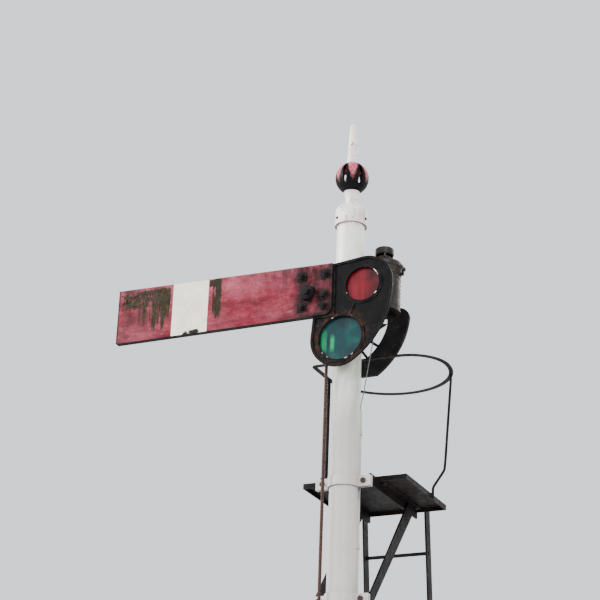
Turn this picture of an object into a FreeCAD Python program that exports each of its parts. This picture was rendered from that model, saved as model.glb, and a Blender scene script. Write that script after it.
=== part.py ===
"""Railway semaphore signal on a tubular post, arm at danger.

Frame: millimetres, +Z up. X runs across the track, the arm points to -X.
Y runs along the track, the driver looks towards +Y. Origin: centre of the
base plate's underside.
"""
import math
import os
from collections import namedtuple

import FreeCAD
import Part

# ---------------------------------------------------------------- post and base
ARM_LEVEL = 4250.0
POST_R = 70.0
POST_WALL = 5.0
POST_ABOVE_ARM = 450.0
BASE_SIDE = 600.0
BASE_THICK = 24.0
BASE_CORNER_R = 40.0
BASE_BOLT_SPACING = 500.0
BASE_BOLT_R = 13.0
SOCKET_WALL = 24.0
SOCKET_HEIGHT = 190.0
GUSSET_THICK = 18.0
GUSSET_REACH = 255.0

# ---------------------------------------------------------------- finial
CAP_ABOVE_ARM = 406.0
CAP_R = POST_R + 12.0
CAP_SKIRT = 75.0
CAP_DOME = 43.0
NECK_R = 31.0
CUP_R = 42.0
CUP_TOP_ABOVE_ARM = 602.0
BALL_R = 86.0
BALL_SHELL = 14.0
BALL_ABOVE_ARM = 684.0
BALL_SLOTS = 6
BALL_SLOT_WIDTH = 18.0
BALL_SLOT_HEIGHT = 104.0
BALL_RIB_ANGLE = -64.5
SPIKE_BASE_R = 31.0
SPIKE_TIP_R = 16.0
SPIKE_TIP_ABOVE_ARM = 999.0
CAP_SCREW_R = 7.0

# ---------------------------------------------------------------- arm and spectacle
PIVOT_X = -158.0
FRONT_Y = -(POST_R + 80.0)
BOARD_THICK = 34.0
BOARD_TIP = -1088.0
BOARD_ROOT = 130.0
BOARD_BOTTOM = -125.0
BOARD_TOP_ROOT = 148.0
BOARD_TOP_TIP = 171.0
BOARD_CORNER_R = 42.0
BOARD_GAP = 0.5
ROOT_PLATE_THICK = 12.0
ROOT_LEFT = -96.0
NECK_LEFT = 30.0
LOBE_ORBIT = 303.0
RED_LOBE_ANGLE = 3.0
GREEN_LOBE_ANGLE = -57.0
RED_ORBIT = 290.0
RED_ANGLE = 3.2
GREEN_ORBIT = 310.5
GREEN_ANGLE = -54.9
RED_R = 89.0
GREEN_R = 114.0
LOBE_R = 146.0
CASTING_STAND = 6.0
WEB_THICK = 12.0
RIM_WIDTH = 11.0
SEAT_WIDTH = 13.0
SEAT_DEPTH = 11.0
EDGE_PROUD = 6.0
GLASS_LAP = 6.0
GLASS_THICK = 6.0
RING_THICK = 5.0
SPINDLE_R = 20.0
RUNNING_CLEARANCE = 0.05
BOSS_R = 39.0
BOSS_PROUD = 24.0
BOSS_CAP_R = 17.0
BOSS_CAP_PROUD = 18.0
ARM_BOLTS = [(-36.0, 94.0), (-32.0, -72.0), (92.0, 92.0), (86.0, -16.0)]
ARM_BOLT_R = 8.0
ARM_WASHER = 46.0

# ---------------------------------------------------------------- down rod and lever
ROD_PIN_X = 88.0
ROD_PIN_Z = -78.0
ROD_Y = -(POST_R + 22.0)
ROD_R = 8.0
PIN_R = 9.0
EYE_R = 20.0
EYE_THICK = 14.0
FULCRUM_R = 16.0
FULCRUM_REAR = 30.0
LEVER_LEVEL = 1150.0
LEVER_THICK = 14.0
LEVER_DEPTH = 56.0
LEVER_ANGLE = -30.0
WEIGHT_REACH = 380.0
WEIGHT_LENGTH = 120.0
WEIGHT_HEIGHT = 170.0
WEIGHT_WIDTH = 54.0
WIRE_REACH = 110.0
WIRE_EYE_R = 8.0
FORK_GAP = 1.5
FORK_EAR = 6.0
FORK_LENGTH = 76.0
FORK_BRIDGE = 20.0
OPEN_PIVOT_CLEARANCE = 0.6

# ---------------------------------------------------------------- bearing, clamps
SLEEVE_R = 34.0
SLEEVE_FRONT = -(POST_R + 26.0)
SLEEVE_REAR = POST_R + 26.0
BUSH_WALL = 5.0
BUSH_LENGTH = 45.0
CLAMP_WALL = 9.0
CLAMP_GAP = 6.0
EAR_THICK = 11.0
SMALL_BOLT_R = 5.0
SMALL_STAND = 11.5
LARGE_BOLT_R = 7.0
LARGE_STAND = 15.5
WIDE_STAND = 27.5
BOLT_HOLE_GAP = 0.5
BEARING_CLAMP_HALF = 44.0
FLANGE_LEVEL = 27.0
FLANGE_THICK = 14.0

# ---------------------------------------------------------------- lamp
LAMP_X = POST_R + 75.0
LAMP_Y = POST_R + 35.0
LAMP_R = 83.0
LAMP_WALL = 2.5
LAMP_BOTTOM = -46.0
LAMP_TOP = 184.0
LAMP_LID_R = 91.0
LAMP_LID_HEIGHT = 34.0
LID_CONE = 30.0
CHIMNEY_R = 48.0
CHIMNEY_BOTTOM = 268.0
CHIMNEY_TOP = 304.0
NECK_TUBE_R = 30.0
LENS_R = 50.0
HOOD_WALL = 6.0
HOOD_LENGTH = 46.0
BACK_LENS_R = 22.0
LAMP_SHELF_R = 64.0
LAMP_SHELF_THICK = 8.0
LAMP_BRACKET_WEB = 12.0
FONT_R = 58.0
FONT_HEIGHT = 46.0
LID_GAP = 0.5
HINGE_R = 5.0

# ---------------------------------------------------------------- back-light blinder
BLINDER_Y = LAMP_Y + LAMP_R + 24.0
BLINDER_THICK = 5.0
BLINDER_INNER_R = 288.0
BLINDER_OUTER_R = 400.0
BLINDER_TOP_ANGLE = 3.0
BLINDER_LOW_ANGLE = -75.0
BLINDER_FLAT_LEVEL = -330.0
BLINDER_LEFT = 140.0
BLINDER_CORNER_R = 55.0
BLINDER_RIM = 14.0
SPOKE_ANGLES = [-37.0, -53.0]
SPOKE_WIDTH = 14.0

# ---------------------------------------------------------------- platform and hoop
DECK_LEFT = -258.0
DECK_RIGHT = 285.0
DECK_FRONT = POST_R + 22.0
DECK_REAR = 640.0
DECK_RIM_LEVEL = -930.0
DECK_RIM = 26.0
DECK_PLATE = 6.0
BEARER_X = POST_R + 58.0
BEARER_WIDTH = 10.0
BEARER_DEPTH = 54.0
BEARER_FOOT = 26.0
BEARER_CLEARANCE = 1.0
PLATFORM_CLAMP_TOP = -926.0
PLATFORM_CLAMP_HEIGHT = 54.0
STRUT_CLAMP_TOP = -1500.0
STRUT_WIDTH = 10.0
BEARER_EAR_TAIL = 22.0
HOOP_LEVEL = -290.0
HOOP_FRONT = POST_R + 34.0
HOOP_LEFT = -229.0
HOOP_R = 322.0
HOOP_CENTRE_Y = 294.0
HOOP_CORNER_R = HOOP_CENTRE_Y - HOOP_FRONT
HOOP_WIDTH = 22.0
HOOP_THICK = 6.0
STANCHION_R = 6.5
STANCHION_LEFT_R = 8.5
STANCHION_LEFT_Y = 300.0
STANCHION_RIGHT_ANGLE = 25.5

# ---------------------------------------------------------------- ladder
LADDER_HALF = 165.0
LADDER_FOOT_Y = 1020.0
STILE_WIDTH = 55.0
STILE_THICK = 10.0
RUNG_R = 9.0
RUNG_PITCH = 260.0
STAY_LEVEL = 1900.0

# ---------------------------------------------------------------- lead, conduit, wire wheel
CONDUIT_X = 45.0
CONDUIT_Y = POST_R + 8.0
CONDUIT_R = 8.0
CONDUIT_WALL = 1.5
CONDUIT_TOP = -560.0
CLIP_LEVELS = [-680.0, -1250.0, -2000.0, -2800.0]
LEAD_R = 2.5
LEAD_ROUTE = [
    (122.0, 62.0, -54.0), (122.0, 62.0, -104.0), (114.0, 65.0, -170.0), (102.0, 68.0, -240.0),
    (90.0, 70.0, -300.0), (79.0, 72.0, -360.0), (70.0, 74.0, -415.0), (60.0, 76.5, -470.0),
    (CONDUIT_X, CONDUIT_Y, -528.0), (CONDUIT_X, CONDUIT_Y, -588.0),
]
WHEEL_R = 90.0
WHEEL_GROOVE_R = 80.0
WHEEL_WIDTH = 18.0
WHEEL_LEVEL = 135.0
WHEEL_PIN_R = 10.0
CHEEK_THICK = 8.0
CHEEK_GAP = 2.0

X_AXIS = FreeCAD.Vector(1, 0, 0)
Y_AXIS = FreeCAD.Vector(0, 1, 0)
Z_AXIS = FreeCAD.Vector(0, 0, 1)

BACK_OF_BOARD = FRONT_Y + BOARD_THICK
BACK_OF_ROOT = BACK_OF_BOARD + ROOT_PLATE_THICK
LENS_LEVEL = RED_ORBIT * math.sin(math.radians(RED_ANGLE))
GLASSES = [(RED_ORBIT, RED_ANGLE, RED_R), (GREEN_ORBIT, GREEN_ANGLE, GREEN_R)]
LAMP_ANGLE = math.degrees(math.atan2(LAMP_Y, LAMP_X))


# ================================================================ small helpers
def vec(x, y, z):
    return FreeCAD.Vector(x, y, z)


def box(x, y, z):
    """Block from three (low, high) pairs."""
    corner = vec(x[0], y[0], z[0])
    return Part.makeBox(x[1] - x[0], y[1] - y[0], z[1] - z[0], corner)


def rod(start, end, radius):
    """Round bar between two points."""
    run = end - start
    return Part.makeCylinder(radius, run.Length, start, run)


def tube(start, end, outer, inner):
    return rod(start, end, outer).cut(rod(start, end, inner))


def fuse(shapes):
    result = shapes[0]
    for shape in shapes[1:]:
        result = result.fuse(shape)
    return result.removeSplitter()


def plate_xz(points, y_low, y_high):
    """Flat plate: an outline in X and Z, thick along Y."""
    wire = Part.makePolygon([vec(x, y_low, z) for x, z in points + points[:1]])
    return Part.Face(wire).extrude(vec(0, y_high - y_low, 0))


def plate_yz(points, x_low, x_high):
    wire = Part.makePolygon([vec(x_low, y, z) for y, z in points + points[:1]])
    return Part.Face(wire).extrude(vec(x_high - x_low, 0, 0))


def turned(profile, x=0.0, y=0.0):
    """Solid of revolution about an upright axis; profile is (radius, height) pairs."""
    wire = Part.makePolygon([vec(r, 0, z) for r, z in profile + profile[:1]])
    solid = Part.Face(wire).revolve(vec(0, 0, 0), Z_AXIS, 360)
    solid.translate(vec(x, y, 0))
    return solid


def hexagon(centre, direction, radius, height):
    """Hexagonal head or nut, radius to its corners."""
    points = []
    for k in range(7):
        turn = math.radians(60 * k)
        points.append(vec(radius * math.cos(turn), radius * math.sin(turn), 0))
    head = Part.Face(Part.makePolygon(points)).extrude(vec(0, 0, height))
    head.Placement = FreeCAD.Placement(centre, FreeCAD.Rotation(Z_AXIS, direction))
    return head


def bolt(start, end, radius):
    """Through bolt: head outside start, nut outside end, shank between them."""
    way = (end - start).normalize()
    head = hexagon(start - way * radius * 1.3, way, radius * 2.0, radius * 1.3)
    nut = hexagon(end, way, radius * 2.0, radius * 1.5)
    shank = rod(start, end + way * radius * 2.2, radius)
    return fuse([head, shank, nut])


def spun(shape, degrees):
    """Turn a shape about the post's own axis."""
    copy = shape.copy()
    copy.rotate(vec(0, 0, 0), Z_AXIS, degrees)
    return copy


def bent_tube(points, radius, bend=None):
    """Round bar along straight runs joined by tangent arcs."""
    pts = [vec(*p) for p in points]
    edges = []
    last = pts[0]
    for k in range(1, len(pts) - 1):
        before = pts[k] - pts[k - 1]
        after = pts[k + 1] - pts[k]
        turn = before.getAngle(after)
        reach = 0.45 * min(before.Length, after.Length)
        if bend is not None:
            reach = min(reach, bend * math.tan(turn / 2))
        start = pts[k] - before.normalize() * reach
        end = pts[k] + after.normalize() * reach
        arc_r = reach / math.tan(turn / 2)
        inward = ((start + end) * 0.5 - pts[k]).normalize()
        middle = pts[k] + inward * (arc_r / math.cos(turn / 2) - arc_r)
        edges.append(Part.LineSegment(last, start).toShape())
        edges.append(Part.Arc(start, middle, end).toShape())
        last = end
    edges.append(Part.LineSegment(last, pts[-1]).toShape())
    path = Part.Wire(edges)
    ring = Part.Circle(pts[0], (pts[1] - pts[0]), radius).toShape()
    return path.makePipeShell([Part.Wire([ring])], True, False)


def level(height):
    """Height above the ground of something measured from the arm's pivot."""
    return ARM_LEVEL + height


def on_arm(dx, dz):
    """X and Z of a point given from the pivot."""
    return PIVOT_X + dx, ARM_LEVEL + dz


def polar(radius, degrees):
    turn = math.radians(degrees)
    return radius * math.cos(turn), radius * math.sin(turn)


# ================================================================ clamps on the post
Clamp = namedtuple("Clamp", "low high turn bolt_r stand tail")


def clamp(middle, height, turn, bolt_r, stand, tail=0.0):
    """Two-part band: its middle height, its own height, its heading, and its bolts' size and stand-off."""
    return Clamp(middle - height / 2, middle + height / 2, turn, bolt_r, stand, tail)


BEARING_CLAMP = clamp(level(0), 2 * BEARING_CLAMP_HALF, 0, SMALL_BOLT_R, SMALL_STAND)
LAMP_CLAMP = clamp(level(LAMP_BOTTOM - 62), 76, LAMP_ANGLE, SMALL_BOLT_R, SMALL_STAND)
PLATFORM_CLAMP = clamp(level(PLATFORM_CLAMP_TOP - PLATFORM_CLAMP_HEIGHT / 2), PLATFORM_CLAMP_HEIGHT, 90,
                       LARGE_BOLT_R, WIDE_STAND, BEARER_EAR_TAIL)
STRUT_CLAMP = clamp(level(STRUT_CLAMP_TOP - 25), 50, 90, LARGE_BOLT_R, WIDE_STAND, BEARER_EAR_TAIL)
STAY_CLAMP = clamp(STAY_LEVEL, 50, 90, LARGE_BOLT_R, WIDE_STAND, BEARER_EAR_TAIL)
LEVER_CLAMP = clamp(LEVER_LEVEL, 80, 90, LARGE_BOLT_R, LARGE_STAND)


def bolt_line(c):
    """Distance of a clamp's bolts from the post's axis."""
    return POST_R + CLAMP_WALL + c.stand


def ear_end(c):
    return bolt_line(c) + 2 * c.bolt_r + c.tail


def bolt_spots(c):
    """Y and Z of a clamp's bolts before it is turned."""
    if c.high - c.low < 84.0:
        heights = [(c.low + c.high) / 2]
    else:
        heights = [c.low + 20.0, c.high - 20.0]
    return [(side * bolt_line(c), z) for z in heights for side in (-1, 1)]


def clamp_holes(c):
    reach = CLAMP_GAP / 2 + EAR_THICK + 1.0
    r = c.bolt_r + BOLT_HOLE_GAP
    return Part.makeCompound([rod(vec(-reach, y, z), vec(reach, y, z), r) for y, z in bolt_spots(c)])


def post_core(c):
    return rod(vec(0, 0, c.low - 100), vec(0, 0, c.high + 100), POST_R)


def clamp_half(c, side):
    """Half band with two ears, not yet turned; side -1 lies towards -X, +1 towards +X."""
    near = CLAMP_GAP / 2
    reach = ear_end(c)
    band = rod(vec(0, 0, c.low), vec(0, 0, c.high), POST_R + CLAMP_WALL)
    band = band.common(box((near, reach), (-reach, reach), (c.low, c.high)))
    ears = box((near, near + EAR_THICK), (-reach, reach), (c.low, c.high))
    half = fuse([band, ears]).cut(post_core(c))
    if side < 0:
        half.rotate(vec(0, 0, 0), Z_AXIS, 180)
    return half.cut(clamp_holes(c))


def strap(c, side):
    return spun(clamp_half(c, side), c.turn)


def bolts_of_clamp(c):
    reach = CLAMP_GAP / 2 + EAR_THICK
    return [spun(bolt(vec(-reach, y, z), vec(reach, y, z), c.bolt_r), c.turn) for y, z in bolt_spots(c)]


# ================================================================ post, base, finial
def base_casting():
    half = BASE_SIDE / 2
    plate = box((-half, half), (-half, half), (0, BASE_THICK))
    corners = [e for e in plate.Edges if abs(e.tangentAt(e.FirstParameter).z) > 0.9]
    plate = plate.makeFillet(BASE_CORNER_R, corners)
    outer = POST_R + SOCKET_WALL
    socket = rod(vec(0, 0, 0), vec(0, 0, SOCKET_HEIGHT), outer)
    parts = [plate, socket]
    for k in range(4):
        outline = [(0, BASE_THICK), (GUSSET_REACH, BASE_THICK), (GUSSET_REACH, BASE_THICK + 16),
                   (outer + 8, SOCKET_HEIGHT - 20), (0, SOCKET_HEIGHT - 20)]
        rib = plate_xz(outline, -GUSSET_THICK / 2, GUSSET_THICK / 2)
        parts.append(spun(rib, 90 * k + 45))
    solid = fuse(parts)
    cuts = [rod(vec(0, 0, BASE_THICK), vec(0, 0, SOCKET_HEIGHT), POST_R)]
    for x in (-1, 1):
        for y in (-1, 1):
            foot = vec(x * BASE_BOLT_SPACING / 2, y * BASE_BOLT_SPACING / 2, 0)
            cuts.append(rod(foot, foot + Z_AXIS * BASE_THICK, BASE_BOLT_R))
    conduit = vec(CONDUIT_X, CONDUIT_Y, BASE_THICK)
    cuts.append(rod(conduit, conduit + Z_AXIS * SOCKET_HEIGHT, CONDUIT_R + 1.0))
    return solid.cut(Part.makeCompound(cuts))


def post_tube():
    foot = vec(0, 0, BASE_THICK)
    top = vec(0, 0, level(POST_ABOVE_ARM))
    return tube(foot, top, POST_R, POST_R - POST_WALL)


def finial_cap():
    """Skirt over the post, dome, waisted neck and the cup that the ball sits in."""
    skirt_low = level(CAP_ABOVE_ARM)
    skirt_top = skirt_low + CAP_SKIRT
    neck_foot = skirt_top + CAP_DOME
    cup_top = level(CUP_TOP_ABOVE_ARM)
    profile = [(0, level(POST_ABOVE_ARM)), (POST_R, level(POST_ABOVE_ARM)), (POST_R, skirt_low)]
    profile += [(CAP_R, skirt_low), (CAP_R, skirt_top)]
    for k in range(1, 9):
        turn = math.radians(90 * k / 9)
        radius = NECK_R + 6 + (CAP_R - 6 - NECK_R) * math.cos(turn)
        profile.append((radius, skirt_top + CAP_DOME * math.sin(turn)))
    profile.append((NECK_R + 3, neck_foot))
    for k in range(0, 9):
        t = k / 8
        flare = (CUP_R - NECK_R) * t ** 3
        profile.append((NECK_R + flare, neck_foot + 6 + (cup_top - 8 - neck_foot) * t))
    profile += [(CUP_R, cup_top), (0, cup_top)]
    body = turned(profile)
    seat = Part.makeSphere(BALL_R, vec(0, 0, level(BALL_ABOVE_ARM)))
    body = body.cut(seat)
    return body.cut(Part.makeCompound([spun(cap_screw_hole(), a) for a in cap_screw_angles()]))


def cap_screw_angles():
    return [BALL_RIB_ANGLE + 60.0 + 120.0 * k for k in range(3)]


def cap_screw_hole():
    z = level(CAP_ABOVE_ARM) + CAP_SKIRT * 0.42
    return rod(vec(POST_R, 0, z), vec(CAP_R + 1, 0, z), CAP_SCREW_R)


def finial_screws():
    z = level(CAP_ABOVE_ARM) + CAP_SKIRT * 0.42
    screw = rod(vec(POST_R, 0, z), vec(CAP_R + 5, 0, z), CAP_SCREW_R)
    slot = box((CAP_R + 2, CAP_R + 6), (-1.5, 1.5), (z - 10, z + 10))
    screw = screw.cut(slot)
    return Part.makeCompound([spun(screw, a) for a in cap_screw_angles()])


def finial_ball():
    """Hollow ball pierced by upright slots."""
    centre = vec(0, 0, level(BALL_ABOVE_ARM))
    shell = Part.makeSphere(BALL_R, centre).cut(Part.makeSphere(BALL_R - BALL_SHELL, centre))
    slots = []
    for k in range(BALL_SLOTS):
        half = BALL_SLOT_WIDTH / 2
        straight = BALL_SLOT_HEIGHT / 2 - half
        z = centre.z
        slot = box((BALL_R * 0.3, BALL_R + 5), (-half, half), (z - straight, z + straight))
        ends = [rod(vec(BALL_R * 0.3, 0, z + s * straight), vec(BALL_R + 5, 0, z + s * straight), half)
                for s in (-1, 1)]
        slots.append(spun(fuse([slot] + ends), BALL_RIB_ANGLE + 30 + 360 / BALL_SLOTS * k))
    shell = shell.cut(Part.makeCompound(slots))
    top = spike_foot()
    hole = rod(vec(0, 0, top - 40), vec(0, 0, top + 60), SPIKE_BASE_R)
    return shell.cut(hole)


def spike_foot():
    """Height where the spike's side meets the outside of the ball."""
    return level(BALL_ABOVE_ARM) + math.sqrt(BALL_R ** 2 - SPIKE_BASE_R ** 2)


def finial_spike():
    low = spike_foot() - BALL_SHELL * 1.6
    tip = level(SPIKE_TIP_ABOVE_ARM)
    profile = [(0, low), (SPIKE_BASE_R, low), (SPIKE_BASE_R, spike_foot() + 4)]
    profile.append((SPIKE_TIP_R, tip - SPIKE_TIP_R * 0.8))
    for k in range(1, 6):
        turn = math.radians(15 * k)
        profile.append((SPIKE_TIP_R * math.cos(turn), tip - SPIKE_TIP_R * 0.8 * (1 - math.sin(turn))))
    profile.append((0, tip))
    return turned(profile)


# ================================================================ spindle bearing
def bearing_bracket():
    front = vec(PIVOT_X, SLEEVE_FRONT, ARM_LEVEL)
    rear = vec(PIVOT_X, SLEEVE_REAR, ARM_LEVEL)
    sleeve = rod(front, rear, SLEEVE_R)
    span = (PIVOT_X, -POST_R + 2)
    parts = [clamp_half(BEARING_CLAMP, -1), sleeve]
    parts.append(box(span, (-8, 8), (level(-FLANGE_LEVEL), level(FLANGE_LEVEL))))
    for z in (level(-FLANGE_LEVEL), level(FLANGE_LEVEL)):
        parts.append(box(span, (-48, 48), (z - FLANGE_THICK / 2, z + FLANGE_THICK / 2)))
    body = fuse(parts).cut(post_core(BEARING_CLAMP)).cut(clamp_holes(BEARING_CLAMP))
    return body.cut(rod(front, rear, SPINDLE_R + RUNNING_CLEARANCE + BUSH_WALL))


def spindle_bushes():
    bore = SPINDLE_R + RUNNING_CLEARANCE
    bushes = []
    for y in (SLEEVE_FRONT, SLEEVE_REAR - BUSH_LENGTH):
        start = vec(PIVOT_X, y, ARM_LEVEL)
        bushes.append(tube(start, start + Y_AXIS * BUSH_LENGTH, bore + BUSH_WALL, bore))
    return Part.makeCompound(bushes)


# ================================================================ arm body
def board(gap=0.0):
    """Arm board; gap grows it all round, for the recess in the casting."""
    tip_x, bottom_z = on_arm(BOARD_TIP - gap, BOARD_BOTTOM - gap)
    root_x, root_top = on_arm(BOARD_ROOT + gap, BOARD_TOP_ROOT + gap)
    tip_top = ARM_LEVEL + BOARD_TOP_TIP + gap
    corner = BOARD_CORNER_R + gap
    start = vec(root_x, FRONT_Y, bottom_z + corner)
    end = vec(root_x - corner, FRONT_Y, bottom_z)
    middle = vec(root_x - corner, FRONT_Y, bottom_z + corner)
    middle = middle + vec(1, 0, -1).normalize() * corner
    edges = [
        Part.LineSegment(vec(tip_x, FRONT_Y, bottom_z), vec(tip_x, FRONT_Y, tip_top)).toShape(),
        Part.LineSegment(vec(tip_x, FRONT_Y, tip_top), vec(root_x, FRONT_Y, root_top)).toShape(),
        Part.LineSegment(vec(root_x, FRONT_Y, root_top), start).toShape(),
        Part.Arc(start, middle, end).toShape(),
        Part.LineSegment(end, vec(tip_x, FRONT_Y, bottom_z)).toShape(),
    ]
    face = Part.Face(Part.Wire(edges))
    return face.extrude(vec(0, BOARD_THICK, 0))


def tangent_point(px, pz, cx, cz, radius, side):
    """Where a line from a point touches a circle; side picks one of the two."""
    dx, dz = px - cx, pz - cz
    reach = math.hypot(dx, dz)
    turn = math.atan2(dz, dx) + side * math.acos(radius / reach)
    return cx + radius * math.cos(turn), cz + radius * math.sin(turn)


def arc_about(centre, radius, degrees, start, end, y):
    """Arc in a plane of constant Y, through the point at the given angle."""
    mx, mz = polar(radius, degrees)
    middle = on_casting((centre[0] + mx, centre[1] + mz), y)
    return Part.Arc(on_casting(start, y), middle, on_casting(end, y)).toShape()


def on_casting(point, y):
    x, z = on_arm(point[0], point[1])
    return vec(x, y, z)


def turn_of(point, centre):
    return math.degrees(math.atan2(point[1] - centre[1], point[0] - centre[0]))


def casting_outline(inset, root, y):
    """Face round both glasses: two lobes, the arc outside them, closed through the root points."""
    lobe = LOBE_R - inset
    rim = LOBE_ORBIT + lobe
    red = polar(LOBE_ORBIT, RED_LOBE_ANGLE)
    green = polar(LOBE_ORBIT, GREEN_LOBE_ANGLE)
    top = tangent_point(root[0][0], root[0][1], red[0], red[1], lobe, -1)
    low = tangent_point(root[-1][0], root[-1][1], green[0], green[1], lobe, 1)
    red_end = polar(rim, RED_LOBE_ANGLE)
    green_end = polar(rim, GREEN_LOBE_ANGLE)
    edges = [
        Part.LineSegment(on_casting(root[0], y), on_casting(top, y)).toShape(),
        arc_about(red, lobe, (turn_of(top, red) + RED_LOBE_ANGLE) / 2, top, red_end, y),
        arc_about((0, 0), rim, (RED_LOBE_ANGLE + GREEN_LOBE_ANGLE) / 2, red_end, green_end, y),
        arc_about(green, lobe, (GREEN_LOBE_ANGLE + turn_of(low, green) - 360) / 2, green_end, low, y),
        Part.LineSegment(on_casting(low, y), on_casting(root[-1], y)).toShape(),
    ]
    for a, b in zip(root[::-1][:-1], root[::-1][1:]):
        edges.append(Part.LineSegment(on_casting(a, y), on_casting(b, y)).toShape())
    return Part.Face(Part.Wire(edges))


def root_points():
    """Corners of the casting behind the board, clockwise from the top right."""
    top = BOARD_TOP_ROOT - 3
    low = BOARD_BOTTOM + 7
    return [(BOARD_ROOT, top), (ROOT_LEFT, top), (ROOT_LEFT, low), (NECK_LEFT, low)]


def pocket_points():
    """Inner corners of the rim, clear of the board's recess."""
    left = BOARD_ROOT + BOARD_GAP + RIM_WIDTH
    top = BOARD_TOP_ROOT - 3 - RIM_WIDTH
    low = BOARD_BOTTOM - BOARD_GAP - RIM_WIDTH
    return [(left, top), (left, low), (NECK_LEFT + RIM_WIDTH, low)]


def spectacle_casting():
    """Plate with a raised edge, seats round both glasses, and a deeper root that houses the board."""
    front = FRONT_Y + CASTING_STAND
    web_front = front + EDGE_PROUD
    web_back = web_front + WEB_THICK
    body = casting_outline(0.0, root_points(), front).extrude(vec(0, web_back - front, 0))
    pocket = casting_outline(RIM_WIDTH, pocket_points(), front - 1)
    body = body.cut(pocket.extrude(vec(0, web_front - front + 1, 0)))
    left, right = ROOT_LEFT, BOARD_ROOT + BOARD_GAP + RIM_WIDTH
    low, high = BOARD_BOTTOM - BOARD_GAP - RIM_WIDTH, BOARD_TOP_ROOT - 3
    low_left = (NECK_LEFT, BOARD_BOTTOM + 7)
    outline = [(left, high), (right, high), (right, low), (NECK_LEFT, low), low_left, (left, low_left[1])]
    root = plate_xz([on_arm(dx, dz) for dx, dz in outline], web_front, BACK_OF_ROOT)
    parts = [body, root]
    holes = []
    for orbit, degrees, radius in GLASSES:
        x, z = on_arm(*polar(orbit, degrees))
        parts.append(rod(vec(x, front + 2, z), vec(x, web_back + SEAT_DEPTH, z), radius + SEAT_WIDTH))
        holes.append(rod(vec(x, front - 1, z), vec(x, BACK_OF_ROOT + 1, z), radius))
        holes.append(rod(vec(x, web_back, z), vec(x, BACK_OF_ROOT + 1, z), radius + GLASS_LAP))
    ends = [on_arm(*polar(orbit, degrees)) for orbit, degrees, radius in GLASSES]
    rib = rod(vec(ends[0][0], web_front, ends[0][1]), vec(ends[1][0], web_front, ends[1][1]), 5.0)
    boss = rod(vec(PIVOT_X, BACK_OF_BOARD, ARM_LEVEL), vec(PIVOT_X, SLEEVE_FRONT - 2, ARM_LEVEL), 46.0)
    body = fuse(parts + [rib, boss]).cut(Part.makeCompound(holes)).cut(board(BOARD_GAP))
    pin_x, pin_z = on_arm(ROD_PIN_X, ROD_PIN_Z)
    cuts = [rod(vec(PIVOT_X, FRONT_Y, ARM_LEVEL), vec(PIVOT_X, 0, ARM_LEVEL), SPINDLE_R)]
    cuts.append(rod(vec(pin_x, FRONT_Y, pin_z), vec(pin_x, 0, pin_z), PIN_R))
    return body.cut(Part.makeCompound(cuts + arm_bolt_shanks()))


def arm_bolt_shanks():
    shanks = []
    for dx, dz in ARM_BOLTS:
        x, z = on_arm(dx, dz)
        shanks.append(rod(vec(x, FRONT_Y - 10, z), vec(x, 0, z), ARM_BOLT_R))
    return shanks


def arm_board():
    pin_x, pin_z = on_arm(ROD_PIN_X, ROD_PIN_Z)
    cuts = arm_bolt_shanks()
    cuts.append(rod(vec(PIVOT_X, FRONT_Y - 1, ARM_LEVEL), vec(PIVOT_X, 0, ARM_LEVEL), SPINDLE_R))
    cuts.append(rod(vec(pin_x, FRONT_Y - 1, pin_z), vec(pin_x, 0, pin_z), PIN_R))
    return board().cut(Part.makeCompound(cuts))


def arm_bolts():
    made = []
    for dx, dz in ARM_BOLTS:
        x, z = on_arm(dx, dz)
        made.append(bolt(vec(x, BACK_OF_ROOT, z), vec(x, FRONT_Y - 3, z), ARM_BOLT_R))
        half = ARM_WASHER / 2
        washer = box((x - half, x + half), (FRONT_Y - 3, FRONT_Y), (z - half, z + half))
        made[-1] = fuse([made[-1], washer])
    return Part.makeCompound(made)


def spindle():
    front = vec(PIVOT_X, FRONT_Y - BOSS_PROUD, ARM_LEVEL)
    rear = vec(PIVOT_X, BLINDER_Y + BLINDER_THICK + 18, ARM_LEVEL)
    return rod(front, rear, SPINDLE_R)


def spindle_nut():
    """Round boss on the spindle's front end, with its small cap."""
    face = vec(PIVOT_X, FRONT_Y, ARM_LEVEL)
    proud = vec(PIVOT_X, FRONT_Y - BOSS_PROUD, ARM_LEVEL)
    cap = vec(PIVOT_X, FRONT_Y - BOSS_PROUD - BOSS_CAP_PROUD, ARM_LEVEL)
    boss = rod(face, proud, BOSS_R)
    edges = [e for e in boss.Edges if e.Curve.TypeId == "Part::GeomCircle" and e.BoundBox.YMax < FRONT_Y - 1]
    boss = boss.makeFillet(6.0, edges)
    boss = boss.cut(rod(face, proud, SPINDLE_R))
    return fuse([boss, rod(proud, cap, BOSS_CAP_R), rod(proud, proud - Y_AXIS * 4, BOSS_CAP_R + 8)])


def rod_pin():
    x, z = on_arm(ROD_PIN_X, ROD_PIN_Z)
    head = vec(x, FRONT_Y - 3, z)
    washer = tube(head, vec(x, FRONT_Y, z), PIN_R * 2.2, PIN_R)
    nut = hexagon(head, Y_AXIS * -1, PIN_R * 1.9, PIN_R * 1.3)
    back = vec(x, ROD_Y + EYE_THICK / 2 + 0.5, z)
    shank = rod(head - Y_AXIS * 18, back + Y_AXIS * 5, PIN_R)
    collar = rod(back, back + Y_AXIS * 5, PIN_R * 1.6)
    return fuse([washer, nut, shank, collar])


def glass_seat():
    """Y of the glasses' front faces."""
    return FRONT_Y + CASTING_STAND + EDGE_PROUD + WEB_THICK


def glass_disc(orbit, degrees, radius):
    x, z = on_arm(*polar(orbit, degrees))
    return rod(vec(x, glass_seat(), z), vec(x, glass_seat() + GLASS_THICK, z), radius + GLASS_LAP)


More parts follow.
